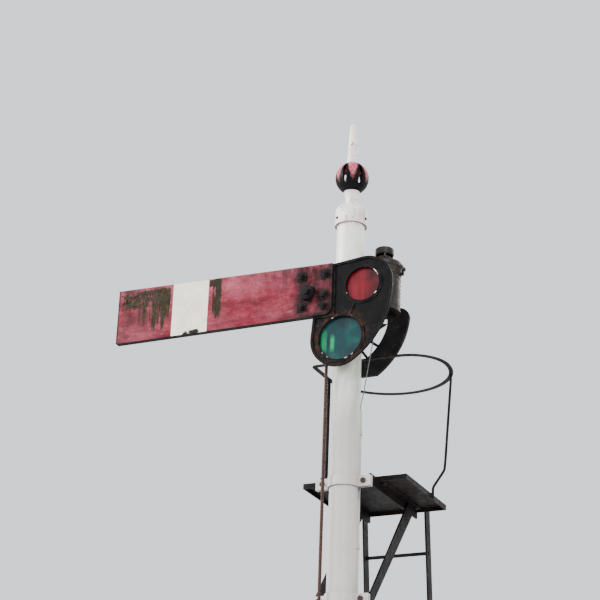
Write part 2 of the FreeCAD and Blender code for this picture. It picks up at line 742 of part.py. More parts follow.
def glass_rings():
    rings = []
    seat = glass_seat() + GLASS_THICK
    for orbit, degrees, radius in GLASSES:
        x, z = on_arm(*polar(orbit, degrees))
        rings.append(tube(vec(x, seat, z), vec(x, seat + RING_THICK, z), radius + GLASS_LAP, radius - 1))
    return Part.makeCompound(rings)


def blinder_plate():
    """Ring sector cut off level at its foot, its outer top corner rounded."""
    y = BLINDER_Y
    start, end = vec(PIVOT_X, y, ARM_LEVEL), vec(PIVOT_X, y + BLINDER_THICK, ARM_LEVEL)
    sweep = [(PIVOT_X, ARM_LEVEL)]
    steps = 8
    for k in range(steps + 1):
        turn = BLINDER_TOP_ANGLE + (BLINDER_LOW_ANGLE - BLINDER_TOP_ANGLE) * k / steps
        sweep.append(on_arm(*polar(BLINDER_OUTER_R * 1.2, turn)))
    plate = tube(start, end, BLINDER_OUTER_R, BLINDER_INNER_R)
    plate = plate.common(plate_xz(sweep, y - 1, y + BLINDER_THICK + 1))
    foot = level(BLINDER_FLAT_LEVEL)
    plate = plate.common(box((PIVOT_X + BLINDER_LEFT, PIVOT_X + 500), (y - 2, y + 60), (foot, foot + 900)))
    x, z = on_arm(*polar(BLINDER_OUTER_R, BLINDER_TOP_ANGLE))
    point = Part.Vertex(x, y, z)
    corner = [e for e in plate.Edges if e.BoundBox.YLength > 4 and e.distToShape(point)[0] < 0.5]
    return plate.makeFillet(BLINDER_CORNER_R, corner)


def blinder():
    """Curved plate behind the lamp, on two spokes from a hub on the spindle's rear end."""
    y = BLINDER_Y
    plate = blinder_plate()
    back = [f for f in plate.Faces if f.BoundBox.YMin > y + BLINDER_THICK - 0.1][0]
    outer = back.OuterWire
    inner = outer.makeOffset2D(-5.0)
    rise = vec(0, BLINDER_RIM, 0)
    rim = Part.Face(outer).extrude(rise).cut(Part.Face(inner).extrude(rise))
    rear = y + BLINDER_THICK + 10
    hub = rod(vec(PIVOT_X, y - 12, ARM_LEVEL), vec(PIVOT_X, rear, ARM_LEVEL), SPINDLE_R + 14)
    parts = [hub, plate, rim]
    for degrees in SPOKE_ANGLES:
        spoke = box((0, BLINDER_INNER_R + 20), (0, BLINDER_THICK), (-SPOKE_WIDTH / 2, SPOKE_WIDTH / 2))
        spoke.rotate(vec(0, 0, 0), Y_AXIS, -degrees)
        spoke.translate(vec(PIVOT_X, y, ARM_LEVEL))
        parts.append(spoke)
    return fuse(parts).cut(rod(vec(PIVOT_X, 0, ARM_LEVEL), vec(PIVOT_X, 400, ARM_LEVEL), SPINDLE_R))


# ================================================================ down rod and balance lever
def rod_ends():
    x, top = on_arm(ROD_PIN_X, ROD_PIN_Z)
    return x, top, LEVER_LEVEL + ROD_PIN_Z


def down_rod():
    """Upright rod with a flat eye at its top."""
    x, top, low = rod_ends()
    eye = rod(vec(x, ROD_Y - EYE_THICK / 2, top), vec(x, ROD_Y + EYE_THICK / 2, top), EYE_R)
    foot = low + FORK_LENGTH + 6
    shank = rod(vec(x, ROD_Y, foot), vec(x, ROD_Y, top - EYE_R + 2), ROD_R)
    neck = rod(vec(x, ROD_Y, top - 60), vec(x, ROD_Y, top - EYE_R + 4), ROD_R + 3)
    slab = box((x - 30, x + 30), (ROD_Y - EYE_THICK / 2, ROD_Y + EYE_THICK / 2), (top - 80, top + 40))
    body = fuse([eye, shank, neck]).common(fuse([slab, shank]))
    hole = rod(vec(x, ROD_Y - 30, top), vec(x, ROD_Y + 30, top), PIN_R + RUNNING_CLEARANCE)
    return body.cut(hole)


def rod_fork():
    """Fork screwed to the rod's foot, with its pin and lock nut."""
    x, top, low = rod_ends()
    inner = LEVER_THICK / 2 + FORK_GAP
    outer = inner + FORK_EAR
    half = EYE_R - 4
    crown = low + FORK_LENGTH + FORK_BRIDGE
    ears = []
    for side in (-1, 1):
        near = ROD_Y + side * inner
        far = ROD_Y + side * outer
        y = (min(near, far), max(near, far))
        ears.append(rod(vec(x, y[0], low), vec(x, y[1], low), EYE_R))
        ears.append(box((x - half, x + half), y, (low, low + FORK_LENGTH + 2)))
    bridge = box((x - half, x + half), (ROD_Y - outer, ROD_Y + outer), (low + FORK_LENGTH, crown))
    lock = hexagon(vec(x, ROD_Y, crown), Z_AXIS, ROD_R * 1.9, 12)
    body = fuse(ears + [bridge, lock])
    body = body.cut(rod(vec(x, ROD_Y, low + FORK_LENGTH + 6), vec(x, ROD_Y, crown + 20), ROD_R))
    pin = rod(vec(x, ROD_Y - outer - 5, low), vec(x, ROD_Y + outer + 4, low), PIN_R)
    head = rod(vec(x, ROD_Y - outer - 5, low), vec(x, ROD_Y - outer, low), PIN_R * 1.5)
    return fuse([body, pin, head])


def lever_point(reach, off=0.0):
    along = polar(reach, LEVER_ANGLE)
    across = polar(off, LEVER_ANGLE + 90)
    return PIVOT_X + along[0] + across[0], LEVER_LEVEL + along[1] + across[1]


def balance_lever():
    y0 = ROD_Y - LEVER_THICK / 2
    y1 = ROD_Y + LEVER_THICK / 2
    half = LEVER_DEPTH / 2
    bar = plate_xz([lever_point(-WIRE_REACH, 16), lever_point(0, half), lever_point(WEIGHT_REACH + 40, 20),
                    lever_point(WEIGHT_REACH + 40, -20), lever_point(0, -half),
                    lever_point(-WIRE_REACH, -16)], y0, y1)
    wire_x, wire_z = lever_point(-WIRE_REACH)
    hub = rod(vec(PIVOT_X, y0 - 4, LEVER_LEVEL), vec(PIVOT_X, y1 + 4, LEVER_LEVEL), 36.0)
    wire_end = rod(vec(wire_x, y0, wire_z), vec(wire_x, y1, wire_z), 22.0)
    pin_x = PIVOT_X + ROD_PIN_X
    pin_z = LEVER_LEVEL + ROD_PIN_Z
    boss = rod(vec(pin_x, y0, pin_z), vec(pin_x, y1, pin_z), EYE_R)
    holes = [
        rod(vec(PIVOT_X, y0 - 5, LEVER_LEVEL), vec(PIVOT_X, y1 + 5, LEVER_LEVEL),
            FULCRUM_R + RUNNING_CLEARANCE),
        rod(vec(wire_x, y0, wire_z), vec(wire_x, y1, wire_z), WIRE_EYE_R),
        rod(vec(pin_x, y0, pin_z), vec(pin_x, y1, pin_z), PIN_R + OPEN_PIVOT_CLEARANCE),
    ]
    return fuse([bar, hub, wire_end, boss]).cut(Part.makeCompound(holes))


def balance_weight():
    """Cast block clamped over the lever's long end."""
    x, z = lever_point(WEIGHT_REACH)
    block = box((-WEIGHT_LENGTH / 2, WEIGHT_LENGTH / 2),
                (ROD_Y - WEIGHT_WIDTH + 12, ROD_Y + 12), (-WEIGHT_HEIGHT / 2, WEIGHT_HEIGHT / 2))
    edges = [e for e in block.Edges if abs(e.tangentAt(e.FirstParameter).y) > 0.9]
    block = block.makeFillet(22.0, edges)
    slot = box((-WEIGHT_LENGTH, WEIGHT_LENGTH), (ROD_Y - LEVER_THICK / 2, ROD_Y + LEVER_THICK / 2), (-21, 21))
    screw = hexagon(vec(0, ROD_Y - WEIGHT_WIDTH + 12, 0), Y_AXIS * -1, 15.0, 12.0)
    block = fuse([block, screw])
    block.rotate(vec(0, 0, 0), Y_AXIS, -LEVER_ANGLE)
    slot.rotate(vec(0, 0, 0), Y_AXIS, -LEVER_ANGLE)
    block.translate(vec(x, 0, z))
    return block.cut(balance_lever())


def lever_bracket():
    """Front half of the lever's clamp, with two flanges out to the fulcrum boss."""
    near = ROD_Y + LEVER_THICK / 2 + 6
    boss = rod(vec(PIVOT_X, near, LEVER_LEVEL), vec(PIVOT_X, FULCRUM_REAR, LEVER_LEVEL), 38.0)
    parts = [strap(LEVER_CLAMP, -1), boss]
    for z in (LEVER_LEVEL - 33, LEVER_LEVEL + 33):
        parts.append(box((PIVOT_X, -20), (near + 8, -CLAMP_GAP / 2), (z - 7, z + 7)))
    body = fuse(parts).cut(post_core(LEVER_CLAMP))
    return body.cut(rod(vec(PIVOT_X, -200, LEVER_LEVEL), vec(PIVOT_X, 100, LEVER_LEVEL), FULCRUM_R))


def fulcrum_pin():
    front = ROD_Y - LEVER_THICK / 2 - 6
    rear = FULCRUM_REAR
    pin = rod(vec(PIVOT_X, front - 10, LEVER_LEVEL), vec(PIVOT_X, rear + 22, LEVER_LEVEL), FULCRUM_R)
    head = rod(vec(PIVOT_X, front - 10, LEVER_LEVEL), vec(PIVOT_X, front, LEVER_LEVEL), FULCRUM_R + 10)
    nut = hexagon(vec(PIVOT_X, rear, LEVER_LEVEL), Y_AXIS, FULCRUM_R * 1.7, 16)
    return fuse([pin, head, nut])


# ================================================================ lamp
def lamp_rod(low, high, radius):
    return rod(vec(LAMP_X, LAMP_Y, level(low)), vec(LAMP_X, LAMP_Y, level(high)), radius)


def lamp_case():
    """Round case: bottom, side, cornice under the lid, and holes for both lenses."""
    side = lamp_rod(LAMP_BOTTOM, LAMP_TOP, LAMP_R)
    foot_band = lamp_rod(LAMP_BOTTOM, LAMP_BOTTOM + 10, LAMP_R + 2)
    cornice = lamp_rod(LAMP_TOP - 30, LAMP_TOP, LAMP_R + 4)
    body = fuse([side, foot_band, cornice])
    body = body.cut(lamp_rod(LAMP_BOTTOM + 3, LAMP_TOP, LAMP_R - LAMP_WALL))
    z = level(LENS_LEVEL)
    front_hole = rod(vec(LAMP_X, LAMP_Y - 200, z), vec(LAMP_X, LAMP_Y, z), LENS_R + HOOD_WALL)
    back_hole = rod(vec(LAMP_X, LAMP_Y, z), vec(LAMP_X, LAMP_Y + 200, z), BACK_LENS_R + 4)
    return body.cut(front_hole).cut(back_hole)


def lens_rings():
    """Front hood and the small rear lens collar, fitted to the round side."""
    z = level(LENS_LEVEL)
    inside = lamp_rod(LAMP_BOTTOM, LAMP_TOP, LAMP_R - LAMP_WALL)
    front_y = LAMP_Y - LAMP_R - HOOD_LENGTH
    hood = tube(vec(LAMP_X, front_y, z), vec(LAMP_X, LAMP_Y, z), LENS_R + HOOD_WALL, LENS_R)
    back_y = LAMP_Y + LAMP_R + 10
    collar = tube(vec(LAMP_X, LAMP_Y, z), vec(LAMP_X, back_y, z), BACK_LENS_R + 4, BACK_LENS_R)
    return Part.makeCompound([hood.cut(inside), collar.cut(inside)])


def lens(y_flat, radius, bulge, side):
    """Plano-convex lens: flat face at y_flat, domed towards side along Y."""
    z = level(LENS_LEVEL)
    ball_r = (radius ** 2 + bulge ** 2) / (2 * bulge)
    centre = vec(LAMP_X, y_flat - side * (ball_r - bulge), z)
    dome = Part.makeSphere(ball_r, centre)
    reach = bulge + 4
    low = min(y_flat, y_flat + side * reach)
    disc = rod(vec(LAMP_X, low, z), vec(LAMP_X, low + reach, z), radius)
    rim = rod(vec(LAMP_X, y_flat, z), vec(LAMP_X, y_flat - side * 4, z), radius)
    return fuse([dome.common(disc), rim])


def front_lens():
    return lens(LAMP_Y - LAMP_R - 8, LENS_R, 14.0, -1)


def back_lens():
    return lens(LAMP_Y + LAMP_R + 2, BACK_LENS_R, 7.0, 1)


def lamp_foot():
    """Turned foot that drops into the bracket's shelf."""
    low = LAMP_BOTTOM - LAMP_SHELF_THICK
    spigot = lamp_rod(low - 10, LAMP_BOTTOM, 22.0)
    return fuse([spigot, lamp_rod(low - 16, low - 4, 17.0)])


def lamp_font():
    tank = lamp_rod(LAMP_BOTTOM + 3, LAMP_BOTTOM + 3 + FONT_HEIGHT, FONT_R)
    collar = lamp_rod(LAMP_BOTTOM + 3 + FONT_HEIGHT, LAMP_BOTTOM + 11 + FONT_HEIGHT, 20.0)
    return fuse([tank, collar])


def lamp_burner():
    low = LAMP_BOTTOM + 11 + FONT_HEIGHT
    gallery = lamp_rod(low, low + 8, 24.0)
    cone = Part.makeCone(18.0, 8.0, 14.0, vec(LAMP_X, LAMP_Y, level(low + 8)), Z_AXIS)
    winder = rod(vec(LAMP_X, LAMP_Y, level(low + 4)), vec(LAMP_X + 46, LAMP_Y, level(low + 4)), 2.5)
    knob = rod(vec(LAMP_X + 46, LAMP_Y, level(low + 4)), vec(LAMP_X + 52, LAMP_Y, level(low + 4)), 9.0)
    return fuse([gallery, cone, winder, knob])


def hinge_axis():
    return LAMP_X + LAMP_LID_R + HINGE_R + 4.0, level(LAMP_TOP + 4.0)


def lamp_lid():
    """Cap ring, shallow cone and the neck tube that carries the chimney."""
    low = LAMP_TOP + LID_GAP
    top = low + LAMP_LID_HEIGHT
    cone_top = top + LID_CONE
    profile = [(NECK_TUBE_R - 3, level(cone_top + 8)), (NECK_TUBE_R, level(cone_top + 8)),
               (NECK_TUBE_R, level(cone_top - 2)), (NECK_TUBE_R + 8, level(cone_top - 6)),
               (LAMP_LID_R - 8, level(top + 2)), (LAMP_LID_R - 2, level(top)),
               (LAMP_LID_R, level(top - 6)), (LAMP_LID_R, level(low + 10)), (LAMP_R + 4, level(low)),
               (LAMP_R - 6, level(low)), (LAMP_R - 6, level(top - 6)),
               (NECK_TUBE_R - 3, level(cone_top - 8))]
    lid = turned(profile, LAMP_X, LAMP_Y)
    x, z = hinge_axis()
    knuckle = rod(vec(x, LAMP_Y - 12, z), vec(x, LAMP_Y + 12, z), HINGE_R + 4)
    tab = box((LAMP_X + LAMP_LID_R - 6, x), (LAMP_Y - 12, LAMP_Y + 12), (z, z + 9))
    lid = fuse([lid, knuckle, tab])
    return lid.cut(rod(vec(x, LAMP_Y - 40, z), vec(x, LAMP_Y + 40, z), HINGE_R + RUNNING_CLEARANCE))


def lid_hinge():
    """Pin and the two lugs riveted to the case."""
    x, z = hinge_axis()
    pin = rod(vec(x, LAMP_Y - 27, z), vec(x, LAMP_Y + 27, z), HINGE_R)
    parts = [pin]
    for y in (LAMP_Y - 24, LAMP_Y + 13):
        lug = rod(vec(x, y, z), vec(x, y + 11, z), HINGE_R + 4)
        strap = box((LAMP_X + LAMP_R - 6, x), (y, y + 11), (z - 34, z - 5.5))
        post = box((x - 7, x + 7), (y, y + 11), (z - 12, z))
        parts += [lug, strap, post]
    body = fuse(parts)
    case = lamp_rod(LAMP_BOTTOM, LAMP_TOP, LAMP_R)
    cornice = lamp_rod(LAMP_TOP - 30, LAMP_TOP, LAMP_R + 4)
    return body.cut(case).cut(cornice)


def lamp_chimney():
    """Domed cap on four legs above the lid's neck."""
    cone_top = LAMP_TOP + LID_GAP + LAMP_LID_HEIGHT + LID_CONE
    profile = [(0, level(CHIMNEY_TOP + 6)), (CHIMNEY_R * 0.55, level(CHIMNEY_TOP + 4)),
               (CHIMNEY_R - 4, level(CHIMNEY_TOP)), (CHIMNEY_R, level(CHIMNEY_TOP - 5)),
               (CHIMNEY_R, level(CHIMNEY_BOTTOM + 4)), (CHIMNEY_R - 3, level(CHIMNEY_BOTTOM)),
               (CHIMNEY_R - 5, level(CHIMNEY_BOTTOM)), (CHIMNEY_R - 5, level(CHIMNEY_TOP - 7)),
               (0, level(CHIMNEY_TOP - 1))]
    cap = turned(profile, LAMP_X, LAMP_Y)
    sleeve_low = level(cone_top - 2)
    sleeve = tube(vec(LAMP_X, LAMP_Y, sleeve_low), vec(LAMP_X, LAMP_Y, sleeve_low + 10),
                  NECK_TUBE_R + 4, NECK_TUBE_R)
    parts = [cap, sleeve]
    for k in range(4):
        leg = box((NECK_TUBE_R, CHIMNEY_R - 4), (-4, 4), (sleeve_low + 4, sleeve_low + 9))
        upright = box((CHIMNEY_R - 8, CHIMNEY_R - 4), (-4, 4), (sleeve_low + 4, level(CHIMNEY_TOP - 20)))
        both = spun(fuse([leg, upright]), 90 * k + 25)
        both.translate(vec(LAMP_X, LAMP_Y, 0))
        parts.append(both)
    return fuse(parts)


def lamp_bracket():
    reach = math.hypot(LAMP_X, LAMP_Y)
    shelf_top = level(LAMP_BOTTOM)
    shelf_low = shelf_top - LAMP_SHELF_THICK
    web_low = LAMP_CLAMP.low
    half = LAMP_BRACKET_WEB / 2
    parts = [clamp_half(LAMP_CLAMP, 1)]
    parts.append(box((POST_R - 2, reach + 44), (-half, half), (web_low, shelf_low)))
    parts.append(box((POST_R - 2, reach + 44), (-half - 5, half + 5), (web_low, web_low + 10)))
    parts.append(box((POST_R + CLAMP_WALL + 2, reach), (-26, 26), (shelf_low, shelf_top)))
    parts.append(rod(vec(reach, 0, shelf_low), vec(reach, 0, shelf_top), LAMP_SHELF_R))
    far = reach + 60
    toe = plate_xz([(reach - 30, web_low - 1), (far, web_low - 1), (far, shelf_low - 20)], -40, 40)
    body = fuse(parts).cut(toe).cut(post_core(LAMP_CLAMP)).cut(clamp_holes(LAMP_CLAMP))
    body = spun(body, LAMP_ANGLE)
    socket = lamp_rod(LAMP_BOTTOM - 60, LAMP_BOTTOM + 1, 22.3)
    x, y = LEAD_ROUTE[0][0], LEAD_ROUTE[0][1]
    gland = rod(vec(x, y, shelf_low - 1), vec(x, y, shelf_top + 1), LEAD_R + 5)
    return body.cut(socket).cut(gland)


def lead_gland():
    """Gland where the lead leaves the lamp shelf."""
    x, y = LEAD_ROUTE[0][0], LEAD_ROUTE[0][1]
    top = level(LAMP_BOTTOM)
    body = rod(vec(x, y, top - LAMP_SHELF_THICK), vec(x, y, top), LEAD_R + 5)
    nut = hexagon(vec(x, y, top - LAMP_SHELF_THICK - 12), Z_AXIS, 11.0, 12.0)
    body = fuse([body, nut])
    return body.cut(rod(vec(x, y, top - 40), vec(x, y, top - LAMP_SHELF_THICK), LEAD_R))


# ================================================================ platform and hoop
def platform_deck():
    """Steel tray, rim turned down, notched where the bearers pass under its front."""
    low = level(DECK_RIM_LEVEL)
    top = low + DECK_RIM
    tray = box((DECK_LEFT, DECK_RIGHT), (DECK_FRONT, DECK_REAR), (low, top))
    inner = box((DECK_LEFT + DECK_PLATE, DECK_RIGHT - DECK_PLATE),
                (DECK_FRONT + DECK_PLATE, DECK_REAR - DECK_PLATE), (low - 1, top - DECK_PLATE))
    tray = tray.cut(inner)
    notches = []
    for side in (-1, 1):
        middle = side * BEARER_X
        half = BEARER_WIDTH / 2 + BEARER_CLEARANCE
        notches.append(box((middle - half, middle + half), (DECK_FRONT - 1, DECK_FRONT + DECK_PLATE + 1),
                           (low - 1, top - DECK_PLATE)))
    return tray.cut(Part.makeCompound(notches + deck_bolt_holes()))


def deck_bolt_places():
    places = []
    for side in (-1, 1):
        for y in (DECK_FRONT + 60, DECK_REAR - 60):
            places.append((side * (BEARER_X + BEARER_WIDTH / 2 + BEARER_FOOT * 0.6), y))
    return places


def deck_bolt_holes():
    top = level(DECK_RIM_LEVEL) + DECK_RIM
    return [rod(vec(x, y, top - 60), vec(x, y, top + 5), 6.5) for x, y in deck_bolt_places()]


def platform_bearers():
    """Angle irons on edge: the leg stands, the foot lies under the deck plate."""
    top = level(DECK_RIM_LEVEL) + DECK_RIM - DECK_PLATE
    bars = []
    for side in (-1, 1):
        inner = side * (BEARER_X - BEARER_WIDTH / 2)
        outer = side * (BEARER_X + BEARER_WIDTH / 2)
        leg = box((min(inner, outer), max(inner, outer)),
                  (CLAMP_GAP / 2 + EAR_THICK, DECK_REAR - DECK_PLATE - 2), (top - BEARER_DEPTH, top))
        far = side * (BEARER_X + BEARER_WIDTH / 2 + BEARER_FOOT)
        flange = box((min(outer, far), max(outer, far)),
                     (DECK_FRONT + DECK_PLATE + 2, DECK_REAR - DECK_PLATE - 2), (top - 8, top))
        bars.append(fuse([leg, flange]))
    bars = Part.makeCompound(bars)
    return bars.cut(Part.makeCompound(deck_bolt_holes()))


def deck_bolts():
    top = level(DECK_RIM_LEVEL) + DECK_RIM
    made = []
    for x, y in deck_bolt_places():
        made.append(bolt(vec(x, y, top), vec(x, y, top - DECK_PLATE - 8), 6.0))
    return Part.makeCompound(made)


def platform_struts():
    """Two flat bars from the lower clamp's ears up to the bearers' outer sides."""
    top = level(DECK_RIM_LEVEL) + DECK_RIM - DECK_PLATE - 10
    low = (STRUT_CLAMP.low + STRUT_CLAMP.high) / 2
    foot = CLAMP_GAP / 2 + EAR_THICK
    far = DECK_REAR - 90
    near = BEARER_X + BEARER_WIDTH / 2
    outline = [(foot, low - 22), (foot + 26, low - 22), (far, top - BEARER_DEPTH + 14), (far, top),
               (far - 60, top), (foot, low + 22)]
    bars = []
    for side in (-1, 1):
        edges = sorted((side * near, side * (near + STRUT_WIDTH)))
        bars.append(plate_yz(outline, edges[0], edges[1]))
    return Part.makeCompound(bars)


def hoop_path():
    """Centre line of the hoop in plan, closed."""
    z = level(HOOP_LEVEL)
    centre_x = HOOP_LEFT + HOOP_R
    right = centre_x + HOOP_R
    corner = 14.0
    far = vec(centre_x, HOOP_CENTRE_Y + HOOP_R, z)
    turn_x = right - HOOP_CORNER_R
    slant = math.radians(-45)
    side_middle = vec(turn_x + HOOP_CORNER_R * math.cos(slant),
                      HOOP_CENTRE_Y + HOOP_CORNER_R * math.sin(slant), z)
    left_front = vec(HOOP_LEFT + corner * (1 - math.sqrt(0.5)), HOOP_FRONT + corner * (1 - math.sqrt(0.5)), z)
    points = [vec(HOOP_LEFT + corner, HOOP_FRONT, z), vec(turn_x, HOOP_FRONT, z),
              vec(right, HOOP_CENTRE_Y, z), vec(HOOP_LEFT, HOOP_CENTRE_Y, z),
              vec(HOOP_LEFT, HOOP_FRONT + corner, z)]
    return Part.Wire([
        Part.LineSegment(points[0], points[1]).toShape(),
        Part.Arc(points[1], side_middle, points[2]).toShape(),
        Part.Arc(points[2], far, points[3]).toShape(),
        Part.LineSegment(points[3], points[4]).toShape(),
        Part.Arc(points[4], left_front, points[0]).toShape(),
    ])


def hoop_ring():
    """Flat bar lying flat, with a lug to the back of the post."""
    path = hoop_path()
    outer = path.makeOffset2D(HOOP_WIDTH / 2)
    inner = path.makeOffset2D(-HOOP_WIDTH / 2)
    ring = Part.Face(outer).extrude(vec(0, 0, HOOP_THICK))
    ring = ring.cut(Part.Face(inner).extrude(vec(0, 0, HOOP_THICK)))
    z = level(HOOP_LEVEL)
    lug = box((-16, 16), (POST_R - 12, HOOP_FRONT), (z - 20, z + HOOP_THICK))
    lug = lug.cut(rod(vec(0, 0, z - 30), vec(0, 0, z + 30), POST_R))
    return fuse([ring, lug])


def stanchion_left():
    z = level(HOOP_LEVEL)
    deck = level(DECK_RIM_LEVEL) + DECK_RIM
    foot = rod(vec(HOOP_LEFT, STANCHION_LEFT_Y, deck), vec(HOOP_LEFT, STANCHION_LEFT_Y, deck + 6), 20.0)
    bar = rod(vec(HOOP_LEFT, STANCHION_LEFT_Y, deck), vec(HOOP_LEFT, STANCHION_LEFT_Y, z), STANCHION_LEFT_R)
    return fuse([foot, bar])


def stanchion_right():
    """Leans in a little, then bends to the deck's right-hand rim."""
    z = level(HOOP_LEVEL)
    rim = level(DECK_RIM_LEVEL)
    dx, dy = polar(HOOP_R, STANCHION_RIGHT_ANGLE)
    x = HOOP_LEFT + HOOP_R + dx
    y = HOOP_CENTRE_Y + dy
    foot_x = DECK_RIGHT + STANCHION_R
    route = [(x, y, z), (x, y, z - 30), (x - 27, y, z - 450), (x - 32, y, rim + 140), (foot_x, y, rim + 56),
             (foot_x, y, rim)]
    pipe = bent_tube(route, STANCHION_R, 40.0)
    pad = box((DECK_RIGHT, DECK_RIGHT + 5), (y - 14, y + 14), (rim, rim + DECK_RIM))
    return fuse([pipe, pad])


# ================================================================ ladder
def ladder_top():
    """Y and Z where the stiles meet the deck's rear rim."""
    return DECK_REAR, level(DECK_RIM_LEVEL) + DECK_RIM


def ladder_y(z):
    """Front edge of the stiles at a height."""
    top_y, top_z = ladder_top()
    return LADDER_FOOT_Y + (top_y - LADDER_FOOT_Y) * z / top_z


def ladder_stiles():
    top_y, top_z = ladder_top()
    bars = []
    for side in (-1, 1):
        x = (LADDER_HALF, LADDER_HALF + STILE_THICK)
        if side < 0:
            x = (-x[1], -x[0])
        outline = [(LADDER_FOOT_Y, 0), (LADDER_FOOT_Y + STILE_WIDTH, 0), (top_y + STILE_WIDTH, top_z),
                   (top_y, top_z)]
        stile = plate_yz(outline, x[0], x[1])
        pad = box((x[0] - 20, x[1] + 20), (LADDER_FOOT_Y - 10, LADDER_FOOT_Y + STILE_WIDTH + 10), (0, 10))
        bars.append(fuse([stile, pad]))
    holes = []
    for z, y in rung_places():
        holes.append(rod(vec(-LADDER_HALF - 50, y, z), vec(LADDER_HALF + 50, y, z), RUNG_R))
    return Part.makeCompound([bar.cut(Part.makeCompound(holes)) for bar in bars])


def rung_places():
    top_y, top_z = ladder_top()
    count = int((top_z - 100) / RUNG_PITCH)
    return [(RUNG_PITCH * (k + 1), ladder_y(RUNG_PITCH * (k + 1)) + STILE_WIDTH / 2) for k in range(count)]


def ladder_rungs():
    reach = LADDER_HALF + STILE_THICK + 3
    return Part.makeCompound([rod(vec(-reach, y, z), vec(reach, y, z), RUNG_R) for z, y in rung_places()])


def ladder_stays():
    """Two flat bars from the stay clamp's ears out to the stiles."""
    y0 = CLAMP_GAP / 2 + EAR_THICK
    y1 = ladder_y(STAY_LEVEL) + STILE_WIDTH
    inner = ear_end(STAY_CLAMP) - 2
    bars = []
    for side in (-1, 1):
        wire = Part.makePolygon([
            vec(side * (inner - 8), y0, STAY_LEVEL - 15), vec(side * inner, y0, STAY_LEVEL - 15),
            vec(side * LADDER_HALF, y1 - STILE_WIDTH, STAY_LEVEL - 15), vec(side * LADDER_HALF, y1, STAY_LEVEL - 15),
            vec(side * (LADDER_HALF - 8), y1, STAY_LEVEL - 15), vec(side * (inner - 8), y0, STAY_LEVEL - 15)])
        bars.append(Part.Face(wire).extrude(vec(0, 0, 30)))
    return Part.makeCompound(bars)


# ================================================================ lead and conduit
def lamp_lead():
    return bent_tube([(x, y, level(z)) for x, y, z in LEAD_ROUTE], LEAD_R)


def conduit():
    low = vec(CONDUIT_X, CONDUIT_Y, BASE_THICK)
    top = vec(CONDUIT_X, CONDUIT_Y, level(CONDUIT_TOP))
    pipe = tube(low, top, CONDUIT_R, CONDUIT_R - CONDUIT_WALL)
    plug_low = top - Z_AXIS * 10
    return fuse([pipe, tube(plug_low, top, CONDUIT_R - CONDUIT_WALL, LEAD_R)])


def conduit_clips():
    """Saddle blocks that hold the conduit off the post."""
    clips = []
    for height in CLIP_LEVELS:
        z = level(height)
        centre = vec(CONDUIT_X, CONDUIT_Y, z)
        saddle = rod(centre - Z_AXIS * 12, centre + Z_AXIS * 12, CONDUIT_R + 3)
        inward = vec(-CONDUIT_X, -CONDUIT_Y, 0).normalize()
        side = vec(-inward.y, inward.x, 0)
        block = Part.makePolygon([
            centre - Z_AXIS * 12 + side * 13, centre - Z_AXIS * 12 + side * 13 + inward * 30,
            centre - Z_AXIS * 12 - side * 13 + inward * 30, centre - Z_AXIS * 12 - side * 13,
            centre - Z_AXIS * 12 + side * 13])
        block = Part.Face(block).extrude(vec(0, 0, 24))
        clip = fuse([saddle, block])
        clip = clip.cut(rod(centre - Z_AXIS * 20, centre + Z_AXIS * 20, CONDUIT_R))
        clip = clip.cut(rod(vec(0, 0, z - 20), vec(0, 0, z + 20), POST_R))
        clips.append(clip)
    return Part.makeCompound(clips)


# ================================================================ wire wheel
def wheel_centre():
    wire_x = lever_point(-WIRE_REACH)[0]
    return vec(wire_x, ROD_Y + WHEEL_GROOVE_R, WHEEL_LEVEL)


def wire_wheel():
    """Grooved wheel that turns the wire from along the track to upright."""
    half = WHEEL_WIDTH / 2
    profile = [(WHEEL_PIN_R + RUNNING_CLEARANCE, -half), (22, -half), (22, -5), (WHEEL_GROOVE_R - 12, -5),
               (WHEEL_GROOVE_R - 12, -half), (WHEEL_R, -half), (WHEEL_R, -half + 3), (WHEEL_GROOVE_R, -2),
               (WHEEL_GROOVE_R, 2), (WHEEL_R, half - 3), (WHEEL_R, half), (WHEEL_GROOVE_R - 12, half),
               (WHEEL_GROOVE_R - 12, 5), (22, 5), (22, half), (WHEEL_PIN_R + RUNNING_CLEARANCE, half)]
    wheel = turned(profile)
    wheel.rotate(vec(0, 0, 0), Y_AXIS, 90)
    holes = []
    for k in range(5):
        y, z = polar(44.0, 72 * k + 18)
        holes.append(rod(vec(-20, y, z), vec(20, y, z), 15.0))
    wheel = wheel.cut(Part.makeCompound(holes))
    wheel.translate(wheel_centre())
    return wheel


def wheel_bracket():
    c = wheel_centre()
    half = WHEEL_WIDTH / 2 + CHEEK_GAP
    cheeks = []
    for side in (-1, 1):
        x = (c.x + side * half, c.x + side * (half + CHEEK_THICK))
        outline = [(c.y - 60, BASE_THICK), (c.y + 60, BASE_THICK), (c.y + 24, c.z + 24), (c.y - 24, c.z + 24)]
        cheeks.append(plate_yz(outline, min(x), max(x)))
    foot = box((c.x - half - CHEEK_THICK, c.x + half + CHEEK_THICK), (c.y - 60, c.y + 60),
               (BASE_THICK, BASE_THICK + 8))
    body = fuse(cheeks + [foot])
    return body.cut(rod(vec(c.x - 60, c.y, c.z), vec(c.x + 60, c.y, c.z), WHEEL_PIN_R))


def wheel_pin():
    c = wheel_centre()
    reach = WHEEL_WIDTH / 2 + CHEEK_GAP + CHEEK_THICK
    pin = rod(vec(c.x - reach - 6, c.y, c.z), vec(c.x + reach + 6, c.y, c.z), WHEEL_PIN_R)
    head = rod(vec(c.x - reach - 6, c.y, c.z), vec(c.x - reach, c.y, c.z), WHEEL_PIN_R + 5)
    nut = hexagon(vec(c.x + reach, c.y, c.z), X_AXIS, WHEEL_PIN_R * 1.7, 6)
    return fuse([pin, head, nut])


